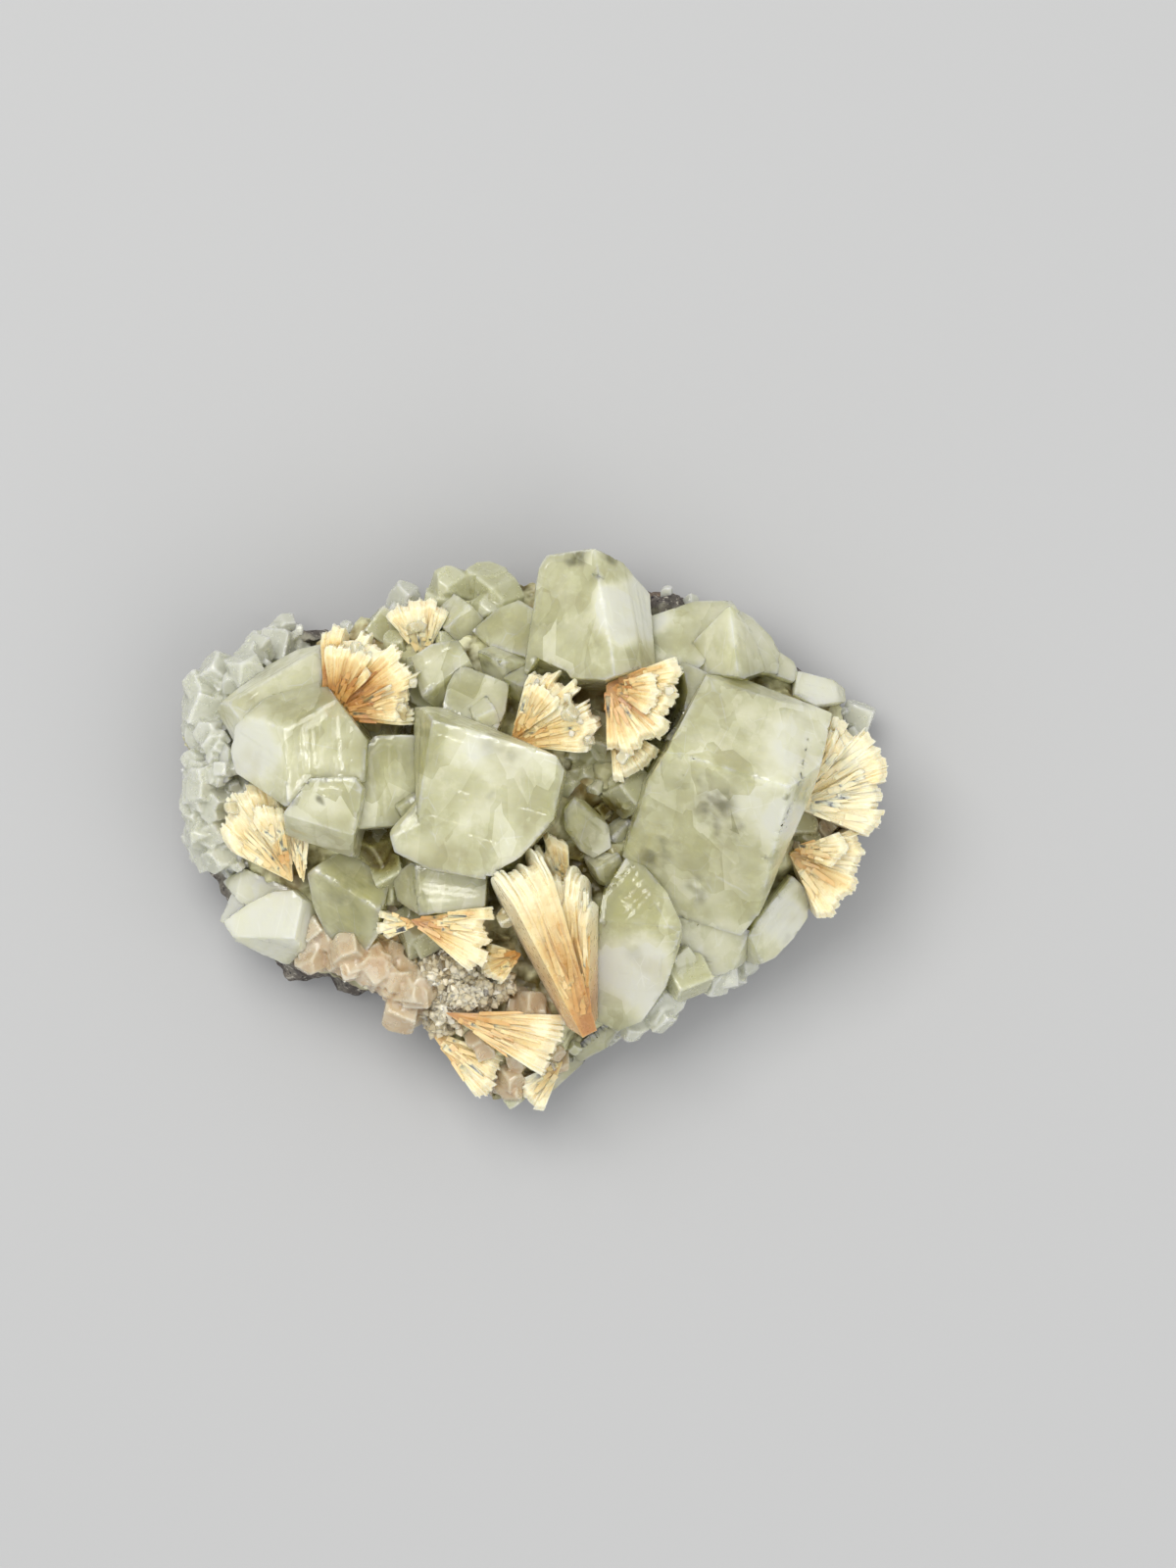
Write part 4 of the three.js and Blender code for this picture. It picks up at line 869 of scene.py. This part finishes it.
def make_crystal(node, rng, material):
    """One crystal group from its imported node, with steps, chips and milky places."""
    choice = settings()
    bm = copy_of(node)
    bmesh.ops.dissolve_limit(bm, angle_limit=math.radians(1.5), verts=bm.verts, edges=bm.edges)
    obj = object_of(bm, node + "_crystal")
    level_terraces(obj.data, facets_of(obj.data, SMALLEST_FACET * MM**2))
    facets = facets_of(obj.data, SMALLEST_FACET * MM**2)
    bpy.context.view_layer.update()
    remeshed(obj, choice.grain, crisp=True)
    mesh = obj.data
    points, normals = points_of(mesh), normals_of(mesh)
    sharp = ramp(ridges_of(mesh, 2), 0.03 * MM, 0.1 * MM)
    broad = ramp(ridges_of(mesh, 16), 0.08 * MM, 0.6 * MM)
    steps, tint = growth_relief(mesh, facets, rng)
    chipped = ramp(billow(points, 2.2 * MM, 3), 0.54, 0.62)
    chips = chipped * ramp(ridges_of(mesh, 5), 0.04 * MM, 0.22 * MM)
    chips = chips * (0.5 + 0.8 * blocky(points, 0.9 * MM, 4))
    wave = billow(points, 7 * MM, 5) - 0.5
    rise = choice.intergrowth + choice.step * steps + 0.2 * MM * wave - choice.chip * chips
    move_points(mesh, points + normals * rise[:, None])
    shade_crisp(mesh)
    paint(mesh, "milk", milkiness_and_painted_light(points) + 0.1 * tint)
    # The edge mark: a painted highlight along the sharp edges, and the white of broken chips on the ridges.
    paint(mesh, "edge", sharp * ramp(cloud(points, 2.5 * MM, 13), 0.35, 0.7) + 0.7 * chipped * broad)
    # Painted glow along the broad ridges, for light that passes through the crystal's thin edges.
    paint(mesh, "glow", broad * (0.4 + 0.6 * cloud(points, 5 * MM, 15)))
    paint(mesh, "smudge", smudges(points))
    return settle(obj, [node], material)


def shifted(points, size, amount, seeds):
    """The points' x and y in mm, each moved by smooth noise with lumps of the given size."""
    noise = np.stack([cloud(points, size, seed) for seed in seeds], 1) - 0.5
    return (points[:, :2] / MM + amount * noise).T


def smudges(points):
    """Where dark specks and brown smudges lie."""
    total = np.zeros(len(points))
    across, up = shifted(points, 2 * MM, 2.0, (25, 27))
    for x, y, radius, amount in SMUDGES:
        far = np.hypot(across - x, up - y) / radius
        total = np.maximum(total, amount * (1 - ramp(far, 0.2, 1)))
    return total * ramp(billow(points, 2.2 * MM, 29), 0.25, 0.75)


def milkiness_and_painted_light(points):
    """How milky the crystal is at each point, and where it is made paler as painted light."""
    total = 0.42 + 0.3 * (billow(points, 6 * MM, 17) - 0.5)
    across, up = shifted(points, 4 * MM, 2.4, (21, 23))
    for x, y, radius, amount in MILKY_AND_PAINTED_LIGHT:
        far = np.hypot(across - x, up - y) / radius
        total += amount * (1 - ramp(far, 0.35, 1.15))
    return total


# The sheaves


class Fan:
    """The shape of one sheaf, from its place across the fan (0 to 1) and along it (0 to 1)."""

    def __init__(self, spec, rng):
        self.spec = spec = {**SHEAF_USUAL, **spec}
        turn = Matrix.Rotation(math.radians(spec["aim"]), 3, "Z")
        turn @= Matrix.Rotation(-math.radians(spec["rise"]), 3, "Y")
        turn @= Matrix.Rotation(math.radians(spec["roll"]), 3, "X")
        self.turn = np.array(turn)
        self.root = np.array(spec["root"])
        arc = math.radians(spec["spread"]) * spec["length"]
        self.plates = self.cuts(rng, max(LEAST_PLATES, round(arc / PLATE_WIDTH)))
        self.blades = self.cuts(rng, max(LEAST_BLADES, round(arc / BLADE_WIDTH)))
        many, more = len(self.plates), len(self.blades)
        # Each plate stands, leans, ends and is tinted in its own way, and each blade varies on that.
        self.plate_rise = rng.uniform(-0.22, 0.16, many)
        self.plate_lean = rng.uniform(-0.25, 0.25, many)
        self.plate_reach = rng.uniform(0.84, 1.01, many)
        self.plate_tone = rng.uniform(-0.07, 0.07, many)
        self.blade_rise = rng.uniform(-0.08, 0.08, more)
        self.blade_reach = rng.uniform(0.96, 1.0, more)
        self.blade_end = np.where(rng.random(more) < 0.25, rng.uniform(0.5, 0.95, more), 2)
        self.blade_drop = rng.uniform(0.05, 0.2, more)
        self.seed = int(rng.integers(1000))

    def cuts(self, rng, number):
        """Where each of so many plates or blades starts, across the fan."""
        widths = rng.uniform(0.5, 1.5, number)
        return np.concatenate([[0], np.cumsum(widths)[:-1] / widths.sum()])

    def which(self, cuts, across):
        """The number of the plate or blade at each place across."""
        return np.clip(np.searchsorted(cuts, across, side="right") - 1, 0, len(cuts) - 1)

    def streaks(self, across, along, fineness, seed):
        """Noise drawn out along the fibres."""
        wide = across * self.spec["spread"] * fineness
        fibre = np.stack([wide, along * 1.6, np.full(len(along), self.seed)], 1)
        return cloud(fibre, 1.0, self.seed + seed) - 0.5

    def reach(self, across):
        """How long the fan is at each place across, in mm."""
        side = 2 * across - 1
        reach = self.spec["length"] * (1 - self.spec["round"] * side * side)
        reach *= 1 + 0.1 * self.streaks(across, np.zeros(len(across)), 0.12, 5)
        reach = reach * self.plate_reach[self.which(self.plates, across)]
        return reach * self.blade_reach[self.which(self.blades, across)]

    def radius(self, across, along):
        """How far each point is from the root, in mm."""
        return self.spec["start"] + (self.reach(across) - self.spec["start"]) * along

    def placed(self, radius, across, up):
        """Where a point is in the specimen, in mm."""
        angle = math.radians(self.spec["spread"]) * (across - 0.5)
        local = np.stack([radius * np.cos(angle), radius * np.sin(angle), up], 1)
        return local @ self.turn.T + self.root

    def height(self, across, along):
        """How high the top stands over the fan's middle plane, in mm."""
        spec = self.spec
        plate, blade = self.which(self.plates, across), self.which(self.blades, across)
        ends = np.append(self.plates, 1.0)
        side = (across - ends[plate]) / (ends[plate + 1] - ends[plate]) - 0.5
        opened = ramp(along, 0.05, 0.6)
        rise = spec["neck"] + (spec["deep"] / 2 - spec["neck"]) * along
        rise += opened * (self.plate_rise[plate] + self.plate_lean[plate] * side + self.blade_rise[blade])
        end = self.blade_end[blade]
        rise -= opened * self.blade_drop[blade] * ramp(along, end, end + 0.02)
        rise += 0.16 * opened * self.streaks(across, along, 0.8, 0)
        rise += 0.8 * opened * self.streaks(across, along, 0.14, 3)
        return rise - 0.22 * spec["deep"] * ramp(along, 0.84, 1.0) ** 2

    def top(self, across, along):
        """Where the top's points are, and their tone from orange (0) to cream (1)."""
        place = self.placed(self.radius(across, along), across, self.height(across, along))
        tone = 0.28 + 0.68 * along**0.9 + self.plate_tone[self.which(self.plates, across)]
        tone += 0.16 * self.streaks(across, along, 0.7, 9) + 0.22 * self.streaks(across, along, 0.16, 11)
        tone -= 0.42 * (self.spec["warm"] - 0.3) * (1.1 - along)
        return place * MM, np.clip(tone + 0.12 * ramp(along, 0.85, 1.0), 0, 1)

    def wall(self, across, along, down):
        """The rim's points on their way down, from under the tips (0) to the crust (1)."""
        half, foot = self.spec["deep"] / 2, self.spec["foot"]
        radius = self.radius(across, along) * (1.015 - 0.2 * down**2 * along)
        radius += along * (0.9 * self.streaks(across, 1.2 * down + along, 0.25, 13) - 0.2)
        radius += along * 0.35 * self.streaks(across, 0 * along + 0.4 * down, 0.9, 15)
        top = self.height(across, along) * (0.4 - down) - half * down
        place = self.placed(np.maximum(radius, 0.25), across, top)
        place[:, 2] += ramp(np.full(len(along), down), 0.3, 1) * (foot - place[:, 2])
        return place * MM


def make_sheaf(fan):
    """A fan of plates with fibrous tops, stepped ends and walls down to the crust."""
    bm = bmesh.new()
    bmesh.ops.create_grid(bm, x_segments=settings().fibres, y_segments=FAN_ROWS, size=1)
    across, along = np.array([v.co.xy for v in bm.verts]).T / 2 + 0.5
    tones, acrosses, alongs = (bm.verts.layers.float.new(name) for name in ("tone", "across", "along"))
    places, tone = fan.top(across, along)
    for vert, place, *marks in zip(bm.verts, places, tone, across, along):
        vert.co = place
        vert[tones], vert[acrosses], vert[alongs] = marks
    rim = [e for e in bm.edges if e.is_boundary]
    for down in np.linspace(0, 1, WALL_ROWS):
        made = bmesh.ops.extrude_edge_only(bm, edges=rim)["geom"]
        fresh = [g for g in made if isinstance(g, bmesh.types.BMVert)]
        marks = np.array([(v[acrosses], v[alongs]) for v in fresh])
        for vert, place in zip(fresh, fan.wall(*marks.T, down)):
            vert.co = place
        rim = [g for g in made if isinstance(g, bmesh.types.BMEdge) and g.is_boundary]
    bmesh.ops.edgeloop_fill(bm, edges=rim)
    bmesh.ops.recalc_face_normals(bm, faces=bm.faces)
    return bm


def sliver():
    """A thin pointed blade along +X, one unit long."""
    bm = bmesh.new()
    bmesh.ops.create_cube(bm, size=1)
    bmesh.ops.translate(bm, verts=bm.verts, vec=(0.5, 0, 0))
    for vert in bm.verts:
        if vert.co.x > 0.5:
            vert.co.y *= 0.6
            vert.co.z = vert.co.z * 0.5 - 0.2
            vert.co.x -= 0.12 * (vert.co.y > 0)
    bmesh.ops.bevel(bm, geom=bm.edges[:], offset=0.06, affect="EDGES", segments=1, profile=0.5, material=-1)
    mesh = bpy.data.meshes.new("sliver")
    bm.to_mesh(mesh)
    bm.free()
    return mesh


def loose_blades(fan, rng, number):
    """Places for thin blades that stand up a little from a sheaf."""
    length = fan.spec["length"]
    places = []
    for _ in range(number):
        across, start, part = rng.uniform(0.03, 0.97), rng.uniform(0.1, 0.6), rng.uniform(0.2, 0.4)
        (here, there), tones = fan.top(np.full(2, across), np.array([start, min(start + part, 0.95)]))
        direction = Vector(there - here) + Vector(rng.normal(0, 0.02 * length * MM, 3))
        size = (direction.length, rng.uniform(0.4, 1.2) * MM, rng.uniform(0.25, 0.6) * MM)
        matrix = placed(here, direction.to_track_quat("X", "Z"), size)
        places.append((matrix, tones[0] + rng.uniform(0, 0.25), 0))
    return places


# The small crystals


def block_shapes(rng, number):
    """Blocks with some corners and edges cut away, each about one unit wide."""
    shapes = []
    corners = [Vector((x, y, 1)).normalized() for x in (-1, 1) for y in (-1, 1)]
    edge = dict(offset=0.022, affect="EDGES", segments=1, profile=0.5, material=-1)
    for i in range(number):
        bm = bmesh.new()
        bmesh.ops.create_cube(bm, size=1)
        tall = rng.uniform(0.8, 1.4)
        bmesh.ops.scale(bm, verts=bm.verts, vec=(1, rng.uniform(0.65, 1), tall))
        cuts = [corner for corner in corners if rng.random() < 0.6]
        cuts += [Vector(rng.normal(0, 1, 3)).normalized() for _ in range(rng.integers(1, 3))]
        for cut in cuts:
            lean = (cut + Vector(rng.normal(0, 0.12, 3))).normalized()
            far = max(v.co.dot(lean) for v in bm.verts)
            everything = bm.verts[:] + bm.edges[:] + bm.faces[:]
            at = lean * far * rng.uniform(0.66, 0.9)
            bmesh.ops.bisect_plane(bm, geom=everything, plane_co=at, plane_no=lean, clear_outer=True)
            bmesh.ops.holes_fill(bm, edges=[e for e in bm.edges if e.is_boundary])
        bmesh.ops.remove_doubles(bm, verts=bm.verts, dist=0.01)
        bmesh.ops.bevel(bm, geom=bm.edges[:], **edge)
        bmesh.ops.recalc_face_normals(bm, faces=bm.faces)
        mesh = bpy.data.meshes.new(f"block_{i}")
        bm.to_mesh(mesh)
        bm.free()
        shapes.append(mesh)
    return shapes


def point_shape():
    """A six-sided point that stands on +Z."""
    bm = bmesh.new()
    bmesh.ops.create_cone(bm, cap_ends=True, segments=6, radius1=0.45, radius2=0.5, depth=1)
    top = max(bm.faces, key=lambda f: f.calc_center_median().z)
    peak = bmesh.ops.poke(bm, faces=[top])["verts"][0]
    peak.co += Vector((0.08, 0.04, 0.5))
    mesh = bpy.data.meshes.new("point")
    bm.to_mesh(mesh)
    bm.free()
    return mesh


def on_bare_stone(at, size):
    """Whether a crystal of this size would cover stone that shows."""
    for x, y, radius in BARE:
        if math.hypot(at.x - x * MM, at.y - y * MM) < radius * MM + 0.4 * size:
            return True
    return False


def grow(name, choice, shapes, rng):
    """The small crystals of one group, each where a line from above meets its ground."""
    low, high = (Vector(corner) for corner in CAD_BOX)
    graph = bpy.context.evaluated_depsgraph_get()
    areas = np.array(choice["areas"], float)
    smallest, largest = choice["sizes"]
    places = []
    for _ in range(int(choice["number"] * settings().growth)):
        x, y, radius = areas[rng.integers(len(areas))]
        out, around = radius * math.sqrt(rng.random()), rng.random() * math.tau
        start = Vector(((x + out * math.cos(around)) * MM, (y + out * math.sin(around)) * MM, 0.2))
        hit, at, normal, _, obj, _ = bpy.context.scene.ray_cast(graph, start, (0, 0, -1))
        if not hit or not obj.name.startswith(choice["on"]):
            continue
        size = (smallest + (largest - smallest) * rng.random() ** 1.8) * MM
        if on_bare_stone(at, size):
            continue
        room = min(at.x - low.x, high.x - at.x, at.y - low.y, high.y - at.y)
        size = min(size, room * 1.1)
        if size < 0.4 * MM:
            continue
        shape = (size, size, size * rng.uniform(0.8, 1.25))
        up = Vector((normal.x, normal.y, max(normal.z, 0.2)))
        matrix = placed(at + up * size * 0.12, turn_to(up, rng, 0.22), shape)
        places.append((matrix, rng.random(), int(rng.integers(99))))
    obj = remeshed(gathered(name, shapes, places), 0.85 * settings().grain)
    points, normals = points_of(obj.data), normals_of(obj.data)
    move_points(obj.data, points + normals * (0.16 * MM * (billow(points, 1.2 * MM, 71) - 0.5))[:, None])
    shade_crisp(obj.data)
    tone = 0.2 + 0.3 * billow(points, 5 * MM, 73) + 0.5 * ramp(ridges_of(obj.data, 4), -0.2 * MM, 0.3 * MM)
    # Paler on ridges and darker in grooves, and darker still in the deep gaps as painted shade.
    paint(obj.data, "tone", tone - 0.5 * within(points, SHADED_DEEP_GAPS))
    return obj


# The operators, one for each group of pieces


class SPECIMEN_OT_apophyllite(bpy.types.Operator):
    """Make the green crystals, with growth steps, chipped edges and milky places"""

    bl_idname = "specimen.apophyllite"
    bl_label = "Apophyllite Crystals"

    def execute(self, context):
        choice = settings()
        green, milk = tuple(choice.green), tuple(choice.milk)
        material = crystal_material("apophyllite", green, milk, clear=0.66)
        rng = np.random.default_rng(SEEDS["apophyllite"])
        for node in CRYSTALS:
            make_crystal(node, rng, material)
        return {"FINISHED"}


class SPECIMEN_OT_rim(bpy.types.Operator):
    """Make the cloudy blocks along the rims"""

    bl_idname = "specimen.rim"
    bl_label = "Rim Crystals"

    def execute(self, context):
        rng = np.random.default_rng(SEEDS["rim"])
        material = crystal_material("rim", shade("dcddca"), shade("e6e7d9"), clear=0.35)
        for node in RIMS:
            make_crystal(node, rng, material)
        return {"FINISHED"}


class SPECIMEN_OT_stilbite(bpy.types.Operator):
    """Make the peach sheaves and their loose blades"""

    bl_idname = "specimen.stilbite"
    bl_label = "Stilbite Sheaves"

    def execute(self, context):
        material = stilbite_material("stilbite", reach=1.4)
        rng = np.random.default_rng(SEEDS["stilbite"])
        blades = []
        for node, specs in SHEAVES.items():
            for i, spec in enumerate(specs):
                fan = Fan(spec, rng)
                number = f"_{i + 1}" if len(specs) > 1 else ""
                obj = object_of(make_sheaf(fan), f"{node}_sheaf{number}")
                shade_crisp(obj.data, 50)
                settle(obj, [node], material)
                blades += loose_blades(fan, rng, int(6 + 2.7 * len(fan.plates)))
        loose = gathered("stilbite_blades", [sliver()], blades)
        settle(loose, [], stilbite_material("stilbite_blade", reach=0.2))
        return {"FINISHED"}


class SPECIMEN_OT_small_crystals(bpy.types.Operator):
    """Grow little blocks in the gaps, along the rim and on the peach crust"""

    bl_idname = "specimen.small_crystals"
    bl_label = "Small Crystals"

    def execute(self, context):
        rng = np.random.default_rng(SEEDS["small_crystals"])
        shapes = block_shapes(rng, BLOCK_KINDS)
        for name, group in GROWTH.items():
            obj = grow(name, group, shapes, rng)
            material = small_crystal_material(name, group["stops"], clear=0.36, reach=1.2)
            settle(obj, [], material)
        return {"FINISHED"}


class SPECIMEN_OT_druse(bpy.types.Operator):
    """Make the bed of tiny quartz points"""

    bl_idname = "specimen.druse"
    bl_label = "Quartz Druse"

    def execute(self, context):
        rng = np.random.default_rng(SEEDS["druse"])
        bed = remeshed(object_of(copy_of("quartz_druse"), "quartz_bed"), QUARTZ_GRAIN * MM)
        points, normals = points_of(bed.data), normals_of(bed.data)
        relief = blocky(points, 1.8 * MM, 41)
        move_points(bed.data, points + normals * (0.9 * MM * relief)[:, None])
        shade_crisp(bed.data)
        paint(bed.data, "tone", 0.5 + relief)
        settle(bed, ["quartz_druse"], bed_material("quartz_bed", "7e6f50", "d4c8a8", "a9905f"))
        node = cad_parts["quartz_druse"]
        places = []
        for point, normal in zip(*spots_on(node.data, settings().quartz_points, rng, 0.0)):
            turn = turn_to(normal, rng, 0.5)
            size = rng.uniform(0.5, 1.6) * MM * Vector((1, 1, 1.2))
            places.append((placed(point, turn, size), rng.random(), 0))
        stops = [(0.0, "5e5340"), (0.12, "ab9c7c"), (0.4, "d0c4a4"), (1.0, "ece5d0")]
        material = small_crystal_material("quartz_points", stops, clear=0.15, reach=0.2)
        settle(gathered("quartz_points", [point_shape()], places), [], material)
        return {"FINISHED"}


class SPECIMEN_OT_crust(bpy.types.Operator):
    """Make the crust that the crystals grow from"""

    bl_idname = "specimen.crust"
    bl_label = "Pale Crust"

    def execute(self, context):
        crust = remeshed(object_of(copy_of("pale_crust"), "pale_crust_bed"), CRUST_GRAIN * MM)
        points, normals = points_of(crust.data), normals_of(crust.data)
        relief = blocky(points, 3.4 * MM, 51) + 0.4 * blocky(points, 1.5 * MM, 57)
        # The crust swells up in the middle and the north, where it faces up and no gap is deep.
        outward = np.hypot(points[:, 0] / 58, points[:, 1] / 44) / MM
        inner = ramp(outward, 0.9, 0.66) * ramp(normals[:, 2], 0.1, 0.6)
        inner *= ramp(points[:, 1], -15 * MM, -7 * MM)
        deep = within(points, SHADED_DEEP_GAPS)
        swell = settings().swell * inner * (1 - deep) * (0.6 + 0.8 * billow(points, 6 * MM, 55))
        moved = points + normals * (1.5 * MM * relief)[:, None] + swell[:, None] * [0, 0, 1]
        move_points(crust.data, moved)
        shade_crisp(crust.data)
        # Darker in the joints, and darker still in the deep gaps as painted shade.
        paint(crust.data, "tone", 0.6 + relief - 0.6 * deep)
        settle(crust, ["pale_crust"], bed_material("pale_crust", "685e30", "cccaa4", "8c7440"))
        return {"FINISHED"}


class SPECIMEN_OT_matrix(bpy.types.Operator):
    """Make the broken basalt under the crust"""

    bl_idname = "specimen.matrix"
    bl_label = "Basalt Matrix"

    def execute(self, context):
        rock = remeshed(object_of(copy_of("basalt_matrix"), "basalt_rock"), ROCK_GRAIN * MM)
        points, normals = points_of(rock.data), normals_of(rock.data)
        rise = (1.8 * blocky(points, 6 * MM, 61) + 0.8 * blocky(points, 2.4 * MM, 63)) * MM
        rise += 0.5 * MM * (billow(points, 1.6 * MM, 65) - 0.5)
        rise *= ramp(points[:, 2], 0.2 * MM, 1.6 * MM)
        move_points(rock.data, points + normals * rise[:, None])
        shade_crisp(rock.data, 40)
        paint(rock.data, "dust", ramp(normals[:, 2], 0.1, 0.8))
        settle(rock, ["basalt_matrix"], basalt_material())
        return {"FINISHED"}


class SPECIMEN_OT_stage(bpy.types.Operator):
    """Make the floor, the light and the camera"""

    bl_idname = "specimen.stage"
    bl_label = "Stage"

    def execute(self, context):
        scene = context.scene
        bm = bmesh.new()
        bmesh.ops.create_grid(bm, x_segments=1, y_segments=1, size=FLOOR_REACH)
        floor = object_of(bm, "floor")
        n = Nodes("floor")
        n.set(Base_Color=tuple(settings().floor), Roughness=0.9)
        n.shader.inputs["Specular IOR Level"].default_value = 0
        floor.data.materials.append(n.material)

        scene.world = bpy.data.worlds.new("Studio")
        scene.world.use_nodes = True
        background = scene.world.node_tree.nodes["Background"]
        background.inputs["Color"].default_value = SKY
        background.inputs["Strength"].default_value = SKY_STRENGTH
        for name, values in LAMPS.items():
            self.lamp(name, *values)

        camera = bpy.data.cameras.new("camera")
        camera.sensor_width = SENSOR
        camera.lens = CAMERA_DISTANCE * SENSOR / (MM_PER_PIXEL * MM * IMAGE_LONG_SIDE)
        camera.clip_start, camera.clip_end = 0.05, 30
        camera_object = bpy.data.objects.new("camera", camera)
        camera_object.location = AIM + Vector((0, 0, CAMERA_DISTANCE))
        scene.collection.objects.link(camera_object)
        scene.camera = camera_object
        scene.view_settings.view_transform = "Standard"
        return {"FINISHED"}

    def lamp(self, name, place, size, power, color):
        """A square lamp that faces the specimen."""
        light = bpy.data.lights.new(name, "AREA")
        light.size, light.energy, light.color = size, power, color
        obj = bpy.data.objects.new(name, light)
        obj.location = place
        obj.rotation_euler = (-Vector(place)).to_track_quat("-Z", "Y").to_euler()
        bpy.context.scene.collection.objects.link(obj)


class SPECIMEN_PT_sidebar(bpy.types.Panel):
    """The operators and their settings"""

    bl_idname = "SPECIMEN_PT_sidebar"
    bl_label = "Specimen"
    bl_space_type = "VIEW_3D"
    bl_region_type = "UI"
    bl_category = "Specimen"

    def draw(self, context):
        for name in SpecimenSettings.__annotations__:
            self.layout.prop(context.scene.specimen, name)
        for operator in OPERATORS:
            self.layout.operator(operator.bl_idname)


OPERATORS = (
    SPECIMEN_OT_stage,
    SPECIMEN_OT_matrix,
    SPECIMEN_OT_crust,
    SPECIMEN_OT_rim,
    SPECIMEN_OT_apophyllite,
    SPECIMEN_OT_stilbite,
    SPECIMEN_OT_druse,
    SPECIMEN_OT_small_crystals,
)
CLASSES = (SpecimenSettings, *OPERATORS, SPECIMEN_PT_sidebar)


def register():
    for cls in CLASSES:
        bpy.utils.register_class(cls)
    bpy.types.Scene.specimen = PointerProperty(type=SpecimenSettings)


def unregister():
    del bpy.types.Scene.specimen
    for cls in reversed(CLASSES):
        bpy.utils.unregister_class(cls)


def main():
    register()
    for operator in OPERATORS:
        group, name = operator.bl_idname.split(".")
        getattr(getattr(bpy.ops, group), name)()


if __name__ == "__main__":
    main()
